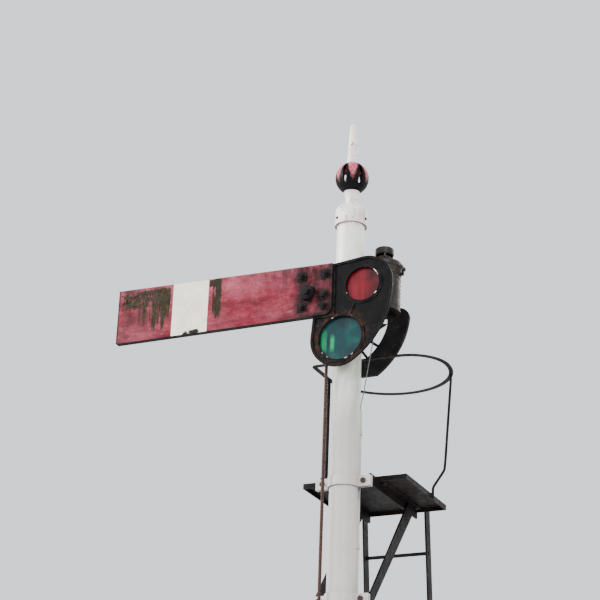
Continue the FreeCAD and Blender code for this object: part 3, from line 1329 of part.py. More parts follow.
# ================================================================ all pieces
def clamp_bolts():
    made = []
    for c in (BEARING_CLAMP, LAMP_CLAMP, PLATFORM_CLAMP, STRUT_CLAMP, STAY_CLAMP, LEVER_CLAMP):
        made += bolts_of_clamp(c)
    return Part.makeCompound(made)


def lower_clamps():
    """Both halves of the strut clamp and of the ladder stay clamp."""
    return Part.makeCompound([strap(c, side) for c in (STRUT_CLAMP, STAY_CLAMP) for side in (-1, 1)])


def pieces():
    return {
        "base_casting": base_casting(),
        "post_tube": post_tube(),
        "finial_cap": finial_cap(),
        "finial_screws": finial_screws(),
        "finial_ball": finial_ball(),
        "finial_spike": finial_spike(),
        "bearing_bracket": bearing_bracket(),
        "bearing_strap": strap(BEARING_CLAMP, 1),
        "spindle_bushes": spindle_bushes(),
        "clamp_bolts": clamp_bolts(),
        "arm_board": arm_board(),
        "spectacle_casting": spectacle_casting(),
        "arm_bolts": arm_bolts(),
        "spindle": spindle(),
        "spindle_nut": spindle_nut(),
        "rod_pin": rod_pin(),
        "red_glass": glass_disc(*GLASSES[0]),
        "green_glass": glass_disc(*GLASSES[1]),
        "glass_rings": glass_rings(),
        "blinder": blinder(),
        "down_rod": down_rod(),
        "rod_fork": rod_fork(),
        "balance_lever": balance_lever(),
        "balance_weight": balance_weight(),
        "lever_bracket": lever_bracket(),
        "lever_bracket_strap": strap(LEVER_CLAMP, 1),
        "fulcrum_pin": fulcrum_pin(),
        "lamp_bracket": lamp_bracket(),
        "lamp_bracket_strap": strap(LAMP_CLAMP, -1),
        "lamp_case": lamp_case(),
        "lamp_foot": lamp_foot(),
        "lens_rings": lens_rings(),
        "front_lens": front_lens(),
        "back_lens": back_lens(),
        "lamp_font": lamp_font(),
        "lamp_burner": lamp_burner(),
        "lamp_lid": lamp_lid(),
        "lid_hinge": lid_hinge(),
        "lamp_chimney": lamp_chimney(),
        "lead_gland": lead_gland(),
        "lamp_lead": lamp_lead(),
        "conduit": conduit(),
        "conduit_clips": conduit_clips(),
        "platform_deck": platform_deck(),
        "platform_bearers": platform_bearers(),
        "deck_bolts": deck_bolts(),
        "platform_clamp_front": strap(PLATFORM_CLAMP, -1),
        "platform_clamp_rear": strap(PLATFORM_CLAMP, 1),
        "platform_struts": platform_struts(),
        "lower_clamps": lower_clamps(),
        "hoop_ring": hoop_ring(),
        "stanchion_left": stanchion_left(),
        "stanchion_right": stanchion_right(),
        "ladder_stiles": ladder_stiles(),
        "ladder_rungs": ladder_rungs(),
        "ladder_stays": ladder_stays(),
        "wire_wheel": wire_wheel(),
        "wheel_bracket": wheel_bracket(),
        "wheel_pin": wheel_pin(),
    }


def main():
    os.makedirs("parts", exist_ok=True)
    for name, shape in pieces().items():
        shape.exportStep("parts/" + name + ".step")
        print(name, len(shape.Solids), round(shape.Volume / 1000.0, 1), shape.isValid())


main()
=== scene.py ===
"""Looks for the railway semaphore signal: finishes, small fittings, camera, floor and light."""
import math

import bpy
from mathutils import Euler, Matrix, Vector


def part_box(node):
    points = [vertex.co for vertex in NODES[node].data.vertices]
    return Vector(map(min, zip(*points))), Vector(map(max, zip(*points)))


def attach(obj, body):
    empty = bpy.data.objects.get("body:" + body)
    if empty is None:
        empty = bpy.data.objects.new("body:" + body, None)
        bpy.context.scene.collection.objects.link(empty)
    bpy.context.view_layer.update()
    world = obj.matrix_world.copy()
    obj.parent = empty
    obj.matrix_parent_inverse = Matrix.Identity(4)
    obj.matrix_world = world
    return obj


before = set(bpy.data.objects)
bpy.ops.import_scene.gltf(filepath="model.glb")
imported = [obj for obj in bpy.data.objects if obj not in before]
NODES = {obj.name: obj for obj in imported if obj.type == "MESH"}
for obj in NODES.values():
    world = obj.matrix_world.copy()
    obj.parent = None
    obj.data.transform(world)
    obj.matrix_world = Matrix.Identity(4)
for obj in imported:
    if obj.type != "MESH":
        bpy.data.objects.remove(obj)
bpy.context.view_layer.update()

MM = 0.001

# An even ramp, for relief and soft masks.
SOFT = [(0.3, 0.0), (0.7, 1.0)]

# Places on the signal in metres: X to the right, Y away from the driver, Z up from the ground.
ARM_LEVEL = 4.250
PIVOT_X = -0.158
BOARD_FRONT = -0.150
BOARD_TIP = PIVOT_X - 1.088
BOARD_BOTTOM = ARM_LEVEL - 0.125
STRIPE_START = PIVOT_X - 0.765
STRIPE_END = PIVOT_X - 0.560
CASTING_FACE = -0.138
SEAT_FRONT = -0.142
RING_BACK = -0.115
CAP_LEVEL = ARM_LEVEL + 0.370
BALL_LEVEL = ARM_LEVEL + 0.684
BALL_RIB_ANGLE = -64.5
BALL_RIBS = 6.0
RUNG_R = 0.009
RUNG_GAPS = 11
LAMP_CASE_R = 0.083

# Each glass: its centre's distance from the spindle, its angle from level in degrees, and its radius.
RED_PLACE = (0.290, 3.2, 0.089)
GREEN_PLACE = (0.3105, -54.9, 0.114)

# Grime round each bolt and the boss: across and up from the spindle, and how far it reaches.
ARM_SMUDGES = [(-0.036, 0.094, 0.030), (-0.032, -0.072, 0.026), (0.092, 0.092, 0.030), (0.086, -0.016, 0.026),
               (0.088, -0.078, 0.034), (0.0, 0.0, 0.046)]


# ---------------------------------------------------------------- camera, floor and light
def make_camera():
    """Long lens, low down and in front of the signal, looking up at the arm."""
    data = bpy.data.cameras.new("camera")
    data.sensor_width = 36.0
    data.lens = 108.2
    data.dof.use_dof = False
    data.clip_end = 200.0
    camera = bpy.data.objects.new("camera", data)
    bpy.context.scene.collection.objects.link(camera)
    pitch = math.radians(23.18)
    heading = math.radians(25.38)
    roll = math.radians(2.23)
    turn = Euler((math.pi / 2 + pitch, 0, heading), "XYZ").to_matrix() @ Matrix.Rotation(roll, 3, "Z")
    camera.matrix_world = Matrix.Translation((3.333, -7.596, 0.693)) @ turn.to_4x4()
    bpy.context.scene.camera = camera


def soft_light(name, size, power, place, aim, tint=(1.0, 1.0, 1.0)):
    """A round area light at a place, turned to its aim."""
    data = bpy.data.lights.new(name, "AREA")
    data.shape = "DISK"
    data.size = size
    data.energy = power
    data.color = tint
    lamp = bpy.data.objects.new(name, data)
    bpy.context.scene.collection.objects.link(lamp)
    way = Vector(aim) - Vector(place)
    lamp.matrix_world = Matrix.Translation(place) @ way.to_track_quat("-Z", "Y").to_matrix().to_4x4()


def make_studio():
    """Overcast-like room: light from all round, a little more from the left and above."""
    soft_light("key", 6.0, 2300.0, (-9.0, -5.0, 9.0), (0, 0, 4.0))
    soft_light("fill", 6.0, 620.0, (6.0, -8.0, 7.0), (0, 0, 3.8), (0.95, 0.97, 1.0))
    soft_light("back", 5.0, 220.0, (3.0, 8.0, 9.0), (0, 0, 4.0))
    world = bpy.data.worlds.new("studio")
    bpy.context.scene.world = world
    world.use_nodes = True
    background = world.node_tree.nodes["Background"]
    background.inputs["Color"].default_value = (0.86, 0.89, 0.92, 1.0)
    background.inputs["Strength"].default_value = 1.45


def make_floor():
    """A wide pale floor under the post's foot."""
    mesh = bpy.data.meshes.new("floor")
    reach = 30.0
    corners = [(-reach, -reach, 0), (reach, -reach, 0), (reach, reach, 0), (-reach, reach, 0)]
    mesh.from_pydata(corners, [], [(0, 1, 2, 3)])
    floor = bpy.data.objects.new("floor", mesh)
    bpy.context.scene.collection.objects.link(floor)
    floor.data.materials.append(pale_floor())


# ---------------------------------------------------------------- node and pattern helpers
def hex_colour(code):
    """sRGB hex to linear RGBA."""
    channels = [int(code[i:i + 2], 16) / 255 for i in (1, 3, 5)]
    linear = [c / 12.92 if c <= 0.04045 else ((c + 0.055) / 1.055) ** 2.4 for c in channels]
    return (*linear, 1.0)


def add(tree, kind, inputs=None, stops=None, out=0, **settings):
    """One node with its settings, its inputs (sockets are linked) and its ramp's stops; gives one output."""
    node = tree.nodes.new(kind)
    for key, value in settings.items():
        setattr(node, key, value)
    for key, value in (inputs or {}).items():
        if isinstance(value, bpy.types.NodeSocket):
            tree.links.new(value, node.inputs[key])
        else:
            node.inputs[key].default_value = value
    for k, (position, shade) in enumerate(stops or ()):
        marks = node.color_ramp.elements
        mark = marks[k] if k < 2 else marks.new(position)
        mark.position = position
        mark.color = hex_colour(shade) if isinstance(shade, str) else (shade, shade, shade, 1.0)
    return node.outputs[out] if len(node.outputs) else node


def new_finish(name):
    """An empty material and its tree."""
    material = bpy.data.materials.new(name)
    material.use_nodes = True
    material.node_tree.nodes.clear()
    return material, material.node_tree


def close_finish(tree, colour, roughness, relief, depth_mm, **uniform):
    """The shader, with relief of a real depth and the values that are the same all over."""
    normal = add(tree, "ShaderNodeBump", {"Height": relief, "Distance": depth_mm * MM, "Strength": 0.7})
    inputs = {"Base Color": colour, "Roughness": roughness, "Normal": normal}
    inputs.update({key.replace("_", " "): value for key, value in uniform.items()})
    shader = add(tree, "ShaderNodeBsdfPrincipled", inputs)
    add(tree, "ShaderNodeOutputMaterial", {"Surface": shader})


def patches(tree, size_mm, stops, stretch=(1, 1, 1), shift=0.0, detail=5.0, rough=0.6):
    """Cloudy patches about size_mm across, toned by the stops; stretch below 1 draws them out."""
    place = add(tree, "ShaderNodeTexCoord", out="Object")
    move = (shift, 0.7 * shift, 1.3 * shift)
    place = add(tree, "ShaderNodeMapping", {"Vector": place, "Scale": stretch, "Location": move})
    cloud = add(tree, "ShaderNodeTexNoise",
                {"Vector": place, "Scale": 1 / (size_mm * MM), "Detail": detail, "Roughness": rough})
    return add(tree, "ShaderNodeValToRGB", {"Fac": cloud}, stops)


def fade(tree, axis, low, high, first=0.0, last=1.0):
    """From first to last along an axis (0, 1, 2) of the object, between two places in metres."""
    place = add(tree, "ShaderNodeTexCoord", out="Object")
    along = add(tree, "ShaderNodeSeparateXYZ", {"Vector": place}, out=axis)
    return add(tree, "ShaderNodeMapRange",
               {"Value": along, "From Min": low, "From Max": high, "To Min": first, "To Max": last})


def facing(tree, axis, low, high):
    """White where the surface faces along an axis: the true normal from low to high."""
    way = add(tree, "ShaderNodeNewGeometry", out="True Normal")
    way = add(tree, "ShaderNodeSeparateXYZ", {"Vector": way}, out=axis)
    return add(tree, "ShaderNodeMapRange", {"Value": way, "From Min": low, "From Max": high})


def near(tree, spot, far, close):
    """Rises from 0 to 1 between two distances, in metres, from a spot on the object."""
    place = add(tree, "ShaderNodeTexCoord", out="Object")
    away = add(tree, "ShaderNodeVectorMath", {0: place, 1: spot}, out="Value", operation="DISTANCE")
    return add(tree, "ShaderNodeMapRange", {"Value": away, "From Min": far, "From Max": close})


def rubbed_edges(tree, width_mm):
    """White along sharp outer edges, where paint wears through first."""
    rounded = add(tree, "ShaderNodeBevel", {"Radius": width_mm * MM}, samples=6)
    true = add(tree, "ShaderNodeNewGeometry", out="Normal")
    same = add(tree, "ShaderNodeVectorMath", {0: rounded, 1: true}, out="Value", operation="DOT_PRODUCT")
    return add(tree, "ShaderNodeMapRange", {"Value": same, "From Min": 0.98, "From Max": 0.86})


def over(tree, under, coat, *masks):
    """Lays a coat over another, as thick as its masks multiplied together."""
    thick = masks[0]
    for mask in masks[1:]:
        thick = add(tree, "ShaderNodeMath", {0: thick, 1: mask}, operation="MULTIPLY")
    coat = hex_colour(coat) if isinstance(coat, str) else coat
    return add(tree, "ShaderNodeMix", {0: thick, 6: under, 7: coat}, out=2, data_type="RGBA")


def growth(tree, size_mm, stretch, shift, *bounds):
    """Where moss or a stain has taken hold: clumps inside soft bounds, with ragged edges."""
    thick = patches(tree, size_mm, [(0.30, 0.0), (0.70, 1.0)], stretch, shift, 8.0, 0.72)
    for bound in bounds:
        thick = add(tree, "ShaderNodeMath", {0: thick, 1: bound}, operation="MULTIPLY")
    return add(tree, "ShaderNodeMapRange", {"Value": thick, "From Min": 0.26, "From Max": 0.36})


def glass_centre(place):
    """Across and up to a glass's centre."""
    orbit, degrees, _ = place
    turn = math.radians(degrees)
    return PIVOT_X + orbit * math.cos(turn), ARM_LEVEL + orbit * math.sin(turn)


# ---------------------------------------------------------------- finishes
def pale_floor():
    """Matt floor paint, rolled: barely mottled, no gloss."""
    material, tree = new_finish("studio_floor_matt_paint_rolled")
    colour = patches(tree, 900, [(0.3, "#d6d5d2"), (0.7, "#e2e1de")])
    close_finish(tree, colour, 0.65, patches(tree, 4, SOFT), 0.2)
    return material


def white_gloss():
    """White oil gloss, brushed over steel and long outdoors: chalky, rain-streaked, with green algae
    under the arm, painted shade lower down the post and, near black, where it faces down, rust specks,
    chipped edges, and red run down onto the cap."""
    material, tree = new_finish("white_oil_gloss_brushed_on_steel")
    colour = patches(tree, 150, [(0.30, "#e9e4de"), (0.52, "#f7f3ee"), (0.75, "#fdfaf6")], detail=6.0)
    rain = patches(tree, 24, [(0.48, 0.0), (0.70, 0.5)], (1, 1, 0.05))
    area = patches(tree, 420, [(0.40, 0.15), (0.62, 1.0)], shift=2.0)
    colour = over(tree, colour, "#a8a297", rain, area)
    # Painted shade: the white goes darker lower down the post, below the arm, in patches drawn out upright.
    lower_shade = fade(tree, 2, ARM_LEVEL - 0.20, ARM_LEVEL - 0.65)
    colour = over(tree, colour, "#aaa5a0", lower_shade,
                  patches(tree, 300, [(0.3, 0.55), (0.7, 0.95)], (1, 1, 0.3)))
    band = fade(tree, 2, ARM_LEVEL - 0.75, ARM_LEVEL - 0.39)
    damp = patches(tree, 60, [(0.40, 0.0), (0.62, 0.85)], (1, 1, 0.25), 5.0)
    colour = over(tree, colour, "#8f9a80", band, fade(tree, 2, ARM_LEVEL - 0.15, ARM_LEVEL - 0.28), damp)
    # Painted shade: near black wherever the surface faces down.
    colour = over(tree, colour, "#23211f", facing(tree, 2, -0.25, -0.85),
                  patches(tree, 30, [(0.3, 0.8), (0.7, 1.0)], shift=7.0))
    specks = patches(tree, 7, [(0.66, 0.0), (0.72, 1.0)], shift=3.0)
    gathered = patches(tree, 190, [(0.48, 0.0), (0.64, 1.0)], shift=8.0)
    colour = over(tree, colour, "#86563c", specks, gathered)
    head = fade(tree, 2, CAP_LEVEL, CAP_LEVEL + 0.040)
    colour = over(tree, colour, "#c79a98", head,
                  patches(tree, 30, [(0.48, 0.0), (0.66, 0.6)], (1, 1, 0.4), 9.0))
    colour = over(tree, colour, "#1d1817", head, patches(tree, 12, [(0.62, 0.0), (0.64, 1.0)], shift=1.0))
    colour = over(tree, colour, "#6f5144", rubbed_edges(tree, 2.5),
                  patches(tree, 14, [(0.45, 0.0), (0.6, 0.8)]))
    relief = patches(tree, 9, SOFT, (1, 1, 0.25))
    close_finish(tree, colour, patches(tree, 60, [(0.3, 0.34), (0.7, 0.55)]), relief, 0.4, Coat_Weight=0.1)
    return material


def black_iron(name, rust=0.5, tone="#121113", dust="#25221f"):
    """Bitumen black brushed on iron: dull, dusty in patches, brown rust through thin places and at edges."""
    material, tree = new_finish(name)
    colour = patches(tree, 45, [(0.3, "#0a090a"), (0.55, tone), (0.78, "#1b1a1c")], detail=6.0)
    colour = over(tree, colour, dust, patches(tree, 120, [(0.50, 0.0), (0.72, 0.6)], shift=2.0))
    thin = [(0.66 - 0.14 * rust, 0.0), (0.74 - 0.12 * rust, 1.0)]
    bare = patches(tree, 34, thin, shift=5.0, detail=8.0, rough=0.68)
    brown = patches(tree, 6, [(0.3, "#21150f"), (0.5, "#3d251b"), (0.75, "#5b3727")])
    colour = over(tree, colour, brown, bare)
    edge_bits = patches(tree, 20, [(0.44, 0.0), (0.60, 0.85)], shift=9.0)
    colour = over(tree, colour, "#5a453b", rubbed_edges(tree, 2.5), edge_bits)
    roughness = patches(tree, 30, [(0.3, 0.44), (0.7, 0.68)])
    relief = patches(tree, 5, SOFT)
    close_finish(tree, colour, roughness, relief, 0.5, Specular_IOR_Level=0.08)
    return material


def glass_casting():
    """Bitumen black on a grey-iron casting: rust gathered round the green glass, edges worn to bare iron."""
    material, tree = new_finish("bitumen_black_on_grey_iron_casting")
    colour = patches(tree, 50, [(0.3, "#040405"), (0.55, "#0a090b"), (0.8, "#131214")], detail=6.0)
    x, z = glass_centre(GREEN_PLACE)
    close_by = near(tree, (x, CASTING_FACE, z), 0.165, GREEN_PLACE[2] + 0.008)
    brown = patches(tree, 8, [(0.3, "#1a100c"), (0.5, "#321d15"), (0.75, "#4e2e20")])
    colour = over(tree, colour, brown, close_by,
                  patches(tree, 26, [(0.46, 0.0), (0.58, 1.0)], shift=1.0, detail=7.0, rough=0.7))
    colour = over(tree, colour, brown, patches(tree, 40, [(0.63, 0.0), (0.72, 0.7)], shift=6.0, detail=8.0))
    colour = over(tree, colour, "#4a423e", rubbed_edges(tree, 3.0),
                  patches(tree, 38, [(0.46, 0.0), (0.58, 0.9)], shift=4.0))
    relief = patches(tree, 6, SOFT)
    roughness = patches(tree, 30, [(0.3, 0.42), (0.7, 0.66)])
    close_finish(tree, colour, roughness, relief, 0.6, Specular_IOR_Level=0.07)
    return material


def bezel_bead():
    """Putty bead round each glass, painted black, with pale arcs as a painted highlight, broken in small
    patches.
    """
    material, tree = new_finish("linseed_putty_bead_black_with_painted_highlight_arcs")
    colour = patches(tree, 20, [(0.3, "#0c0a0b"), (0.6, "#191615")])
    # Painted highlight: pale arcs round each glass, broken in small patches.
    highlight_arcs = patches(tree, 60, [(0.56, 0.0), (0.60, 1.0)], shift=11.0, detail=2.0)
    colour = over(tree, colour, "#e2dad4", highlight_arcs, patches(tree, 7, [(0.42, 0.0), (0.50, 1.0)]))
    close_finish(tree, colour, patches(tree, 9, [(0.3, 0.6), (0.7, 0.85)]),
                 patches(tree, 4, SOFT), 0.4, Specular_IOR_Level=0.1)
    return material


def chalked_red(tree):
    """Red deeper at the foot and chalkier at the top, with brush lines along the board and thin drips."""
    lift = fade(tree, 2, BOARD_BOTTOM, ARM_LEVEL + 0.165, -0.30, 0.30)
    wander = patches(tree, 150, [(0.25, 0.0), (0.75, 1.0)], (1, 1, 1.5))
    tone = add(tree, "ShaderNodeMath", {0: wander, 1: lift}, operation="ADD")
    stops = [(0.12, "#5c0c1a"), (0.45, "#78182a"), (0.66, "#86293a"), (0.92, "#a04a58")]
    colour = add(tree, "ShaderNodeValToRGB", {"Fac": tone}, stops)
    brushed = patches(tree, 15, [(0.46, 0.0), (0.68, 0.5)], (0.05, 1, 1))
    chalk = patches(tree, 90, [(0.40, 0.0), (0.70, 0.35)], (0.6, 1, 1.4), 3.0, 8.0, 0.7)
    drips = patches(tree, 5, [(0.48, 0.0), (0.66, 0.5)], (1, 1, 0.15), 5.0, 6.0, 0.75)
    bloom = patches(tree, 14, [(0.54, 0.0), (0.74, 0.4)], (0.3, 1, 1), 8.0, 8.0, 0.75)
    for shade, mask in (("#3d0a11", brushed), ("#b0606e", chalk), ("#2c0c10", drips), ("#b8727c", bloom)):
        colour = over(tree, colour, shade, mask)
    colour = over(tree, colour, "#1c0a0b", fade(tree, 0, PIVOT_X - 0.46, PIVOT_X - 0.05),
                  fade(tree, 2, ARM_LEVEL - 0.05, ARM_LEVEL + 0.12),
                  patches(tree, 42, [(0.36, 0.0), (0.62, 0.95)], (1, 1, 0.4), 4.0))
    return over(tree, colour, "#2a100f", fade(tree, 0, STRIPE_START, STRIPE_START - 0.10),
                fade(tree, 2, BOARD_BOTTOM + 0.02, BOARD_BOTTOM + 0.12),
                patches(tree, 70, [(0.34, 0.0), (0.62, 0.8)], (1, 1, 0.5), 12.0))


def striped(tree, colour):
    """The white band, bare and black in one patch at its foot."""
    white = patches(tree, 60, [(0.3, "#d8cfbf"), (0.6, "#efe7da"), (0.8, "#f6f0e4")])
    bare = growth(tree, 24, (0.6, 1, 1), 6.0,
                  fade(tree, 2, BOARD_BOTTOM + 0.032, BOARD_BOTTOM + 0.012),
                  fade(tree, 0, STRIPE_START + 0.04, STRIPE_START + 0.09),
                  fade(tree, 0, STRIPE_END - 0.02, STRIPE_END - 0.07))
    white = over(tree, white, "#14100e", bare)
    return over(tree, colour, white, fade(tree, 0, STRIPE_START - 0.001, STRIPE_START + 0.001),
                fade(tree, 0, STRIPE_END + 0.001, STRIPE_END - 0.001))


def mossed(tree, colour):
    """Moss in a clump with runs at the tip, and in a clump with one run just right of the white band."""
    moss = patches(tree, 9, [(0.34, "#120c06"), (0.52, "#241c0b"), (0.64, "#3a3214"), (0.76, "#6e5040")],
                   (1, 1, 0.4), detail=8.0, rough=0.75)
    beside_band = fade(tree, 0, STRIPE_START - 0.001, STRIPE_START - 0.022)
    under_top = fade(tree, 2, ARM_LEVEL + 0.170, ARM_LEVEL + 0.138)
    tip_clump = growth(tree, 44, (0.9, 1, 0.4), 1.5, beside_band, fade(tree, 0, BOARD_TIP, BOARD_TIP + 0.05),
                       fade(tree, 2, ARM_LEVEL - 0.005, ARM_LEVEL + 0.105), under_top)
    tip_runs = growth(tree, 17, (1, 1, 0.07), 3.5, beside_band,
                      fade(tree, 0, BOARD_TIP + 0.06, BOARD_TIP + 0.20),
                      fade(tree, 2, ARM_LEVEL - 0.15, ARM_LEVEL + 0.02), under_top)
    band_run = growth(tree, 15, (1, 1, 0.12), 7.3,
                      fade(tree, 0, STRIPE_END + 0.086, STRIPE_END + 0.062),
                      fade(tree, 0, STRIPE_END + 0.004, STRIPE_END + 0.046),
                      fade(tree, 2, ARM_LEVEL - 0.09, ARM_LEVEL - 0.02))
    band_clump = growth(tree, 22, (0.6, 1, 1), 2.3,
                        fade(tree, 0, STRIPE_END + 0.09, STRIPE_END + 0.05),
                        fade(tree, 0, STRIPE_END, STRIPE_END + 0.004),
                        fade(tree, 2, ARM_LEVEL + 0.100, ARM_LEVEL + 0.128),
                        fade(tree, 2, ARM_LEVEL + 0.160, ARM_LEVEL + 0.150))
    for patch in (tip_clump, tip_runs, band_run, band_clump):
        colour = over(tree, colour, moss, patch)
    return colour


def grimed(tree, colour):
    """Black grime round the bolts, and black along the root, the root's foot, the tip and worn edges."""
    for dx, dz, reach in ARM_SMUDGES:
        spot = (PIVOT_X + dx, BOARD_FRONT, ARM_LEVEL + dz)
        cloud = patches(tree, 22, [(0.30, 0.2), (0.56, 0.97)], shift=dx)
        colour = over(tree, colour, "#090506", near(tree, spot, 2.2 * reach, reach), cloud)
    rim = patches(tree, 30, [(0.30, 0.4), (0.55, 1.0)], shift=9.0)
    colour = over(tree, colour, "#141011", fade(tree, 0, PIVOT_X + 0.096, PIVOT_X + 0.128), rim)
    colour = over(tree, colour, "#141011", fade(tree, 0, PIVOT_X - 0.16, PIVOT_X + 0.02),
                  fade(tree, 2, BOARD_BOTTOM + 0.045, BOARD_BOTTOM + 0.008), rim)
    colour = over(tree, colour, "#161213", fade(tree, 0, BOARD_TIP + 0.011, BOARD_TIP + 0.004), rim)
    return over(tree, colour, "#160f0e", rubbed_edges(tree, 3.5),
                patches(tree, 25, [(0.38, 0.0), (0.56, 1.0)]))


def red_board():
    """Vermilion oil paint on a planed softwood board, chalked to pink along the top; a white band; dark moss
    runs down from the tip's upper corner; grime by the root; painted shade, near black, underneath, and dirty
    white at the back."""
    material, tree = new_finish("vermilion_oil_paint_on_planed_softwood")
    colour = grimed(tree, mossed(tree, striped(tree, chalked_red(tree))))
    # Painted shade: near black where the board faces down.
    colour = over(tree, colour, "#040304", facing(tree, 2, -0.4, -0.8))
    back = patches(tree, 80, [(0.35, "#d8d5ce"), (0.60, "#c4c0b8"), (0.72, "#8f8b80")])
    colour = over(tree, colour, back, facing(tree, 1, 0.4, 0.6))
    grain = patches(tree, 14, SOFT, (0.05, 1, 1))
    roughness = patches(tree, 40, [(0.3, 0.52), (0.7, 0.75)])
    close_finish(tree, colour, roughness, grain, 0.8, Specular_IOR_Level=0.12)
    return material


def turned_steel():
    """Mild steel, lathe-turned and gone dull: fine rings and brown spots."""
    material, tree = new_finish("mild_steel_turned_dull")
    rings = patches(tree, 1.6, [(0.3, "#4a4743"), (0.7, "#76726c")], (0.2, 1, 0.2), detail=2.0)
    colour = over(tree, rings, "#553526", patches(tree, 18, [(0.5, 0.0), (0.7, 0.8)], shift=2.0))
    close_finish(tree, colour, patches(tree, 12, [(0.3, 0.36), (0.7, 0.6)]), rings, 0.12, Metallic=0.8)
    return material


def rusted_steel(name, deep="#33241e", bright="#5c3628"):
    """Mild steel under a brown rust skin, flaky in places, no gloss."""
    material, tree = new_finish(name)
    colour = patches(tree, 9, [(0.30, "#201b1a"), (0.48, deep), (0.62, bright), (0.80, "#7b4c35")], rough=0.7)
    close_finish(tree, colour, patches(tree, 10, [(0.3, 0.6), (0.7, 0.85)]),
                 patches(tree, 4, SOFT, rough=0.7), 0.6, Specular_IOR_Level=0.25)
    return material


def signal_glass(name, deep, body, lit, film, painted_sky_glow, bands):
    """Cast signal glass coloured through: deep where sooty, and brighter in bands of painted light that stand
    in for bright sky seen through the glass.
    Each band is its left, right, low and high in metres."""
    material, tree = new_finish(name)
    colour = patches(tree, 80, [(0.3, deep), (0.52, body), (0.75, lit)], detail=2.0)
    colour = over(tree, colour, film, patches(tree, 60, [(0.52, 0.0), (0.76, 0.25)], shift=3.0, detail=3.0))
    # Painted light: each band makes the glass brighter, as if bright sky shone through it there.
    for left, right, low, high in bands:
        soft = 0.25 * (right - left)
        colour = over(tree, colour, painted_sky_glow,
                      fade(tree, 0, left, left + soft), fade(tree, 0, right, right - soft),
                      fade(tree, 2, low, low + 0.03), fade(tree, 2, high, high - 0.03),
                      patches(tree, 22, [(0.34, 0.35), (0.58, 1.0)], (1, 1, 0.15)))
    close_finish(tree, colour, patches(tree, 50, [(0.40, 0.14), (0.75, 0.32)], shift=3.0, detail=2.0),
                 patches(tree, 45, SOFT, detail=1.0), 0.5,
                 IOR=1.52, Transmission_Weight=0.40, Specular_IOR_Level=0.25)
    return material


def lens_glass():
    """Moulded clear lens glass, a little dusty."""
    material, tree = new_finish("soda_glass_lens_moulded")
    colour = patches(tree, 15, [(0.3, "#c8cecc"), (0.7, "#eaefee")])
    close_finish(tree, colour, patches(tree, 10, [(0.4, 0.03), (0.8, 0.16)]),
                 patches(tree, 12, SOFT, detail=2.0), 0.2, IOR=1.52, Transmission_Weight=0.9)
    return material


def lamp_tin():
    """Lamp black on tinned sheet, browned by heat in streaks, with dull metal showing along worn edges."""
    material, tree = new_finish("lamp_black_on_tinned_sheet")
    browned = [(0.30, "#0f0c0b"), (0.50, "#1b1613"), (0.72, "#2b231f")]
    colour = patches(tree, 50, browned, (1, 1, 0.35), detail=6.0)
    colour = over(tree, colour, "#432f22", patches(tree, 16, [(0.54, 0.0), (0.68, 0.8)], (1, 1, 0.3), 4.0))
    colour = over(tree, colour, "#85776b", rubbed_edges(tree, 2.0),
                  patches(tree, 9, [(0.4, 0.0), (0.6, 0.9)]))
    close_finish(tree, colour, patches(tree, 25, [(0.3, 0.34), (0.7, 0.55)]),
                 patches(tree, 7, SOFT), 0.4, Specular_IOR_Level=0.3)
    return material


def old_brass(name, low, high, metal_rough):
    """Copper alloy gone brown with lamp oil and grease."""
    material, tree = new_finish(name)
    colour = patches(tree, 18, [(0.3, low), (0.75, high)])
    close_finish(tree, colour, patches(tree, 9, [(0.3, metal_rough), (0.7, metal_rough + 0.2)]),
                 patches(tree, 3, SOFT, detail=3.0), 0.1, Metallic=0.95)
    return material


def lead_sheath():
    """Grey rubber sheath, extruded, chalky with age."""
    material, tree = new_finish("rubber_sheath_extruded_grey")
    colour = patches(tree, 20, [(0.3, "#4c4b49"), (0.7, "#74736f")])
    close_finish(tree, colour, patches(tree, 8, [(0.3, 0.5), (0.7, 0.75)]),
                 patches(tree, 2.5, SOFT, detail=2.0), 0.1)
    return material


def ball_paint():
    """Finial ball: black over cast iron, with tongues of faded red running down from the top of each rib."""
    material, tree = new_finish("black_and_faded_red_oil_paint_on_cast_iron")
    base = patches(tree, 30, [(0.3, "#030203"), (0.55, "#070608"), (0.8, "#100f10")])
    place = add(tree, "ShaderNodeTexCoord", out="Object")
    across = add(tree, "ShaderNodeSeparateXYZ", {"Vector": place}, out=0)
    along = add(tree, "ShaderNodeSeparateXYZ", {"Vector": place}, out=1)
    angle = add(tree, "ShaderNodeMath", {0: along, 1: across}, operation="ARCTAN2")
    angle = add(tree, "ShaderNodeMath", {0: angle, 1: -math.radians(BALL_RIB_ANGLE)}, operation="ADD")
    angle = add(tree, "ShaderNodeMath", {0: angle, 1: BALL_RIBS}, operation="MULTIPLY")
    rib = add(tree, "ShaderNodeMath", {0: angle}, operation="COSINE")
    high = fade(tree, 2, BALL_LEVEL - 0.048, BALL_LEVEL + 0.055, -1.05, 0.85)
    ragged = patches(tree, 7, [(0.3, 0.0), (0.7, 0.5)], (1, 1, 0.3), detail=8.0, rough=0.7)
    tongue = add(tree, "ShaderNodeMath", {0: rib, 1: high}, operation="ADD")
    tongue = add(tree, "ShaderNodeMath", {0: tongue, 1: ragged}, operation="ADD")
    tongue = add(tree, "ShaderNodeMapRange", {"Value": tongue, "From Min": 0.25, "From Max": 0.95})
    red = patches(tree, 9, [(0.3, "#982838"), (0.5, "#b85866"), (0.72, "#d9a0a8")])
    colour = over(tree, base, red, tongue, fade(tree, 2, BALL_LEVEL - 0.045, BALL_LEVEL + 0.02, 0.35, 1.0))
    close_finish(tree, colour, patches(tree, 12, [(0.3, 0.40), (0.7, 0.6)]),
                 patches(tree, 5, SOFT), 0.4, Specular_IOR_Level=0.10)
    return material


def lichen_crust():
    """Dry moss and lichen in small lumps: matt, dark olive to brown."""
    material, tree = new_finish("moss_and_lichen_dry")
    colour = patches(tree, 12, [(0.3, "#0f0d05"), (0.5, "#201d0b"), (0.75, "#39351a")])
    close_finish(tree, colour, 0.9, patches(tree, 2, SOFT), 0.8, Specular_IOR_Level=0.1)
    return material


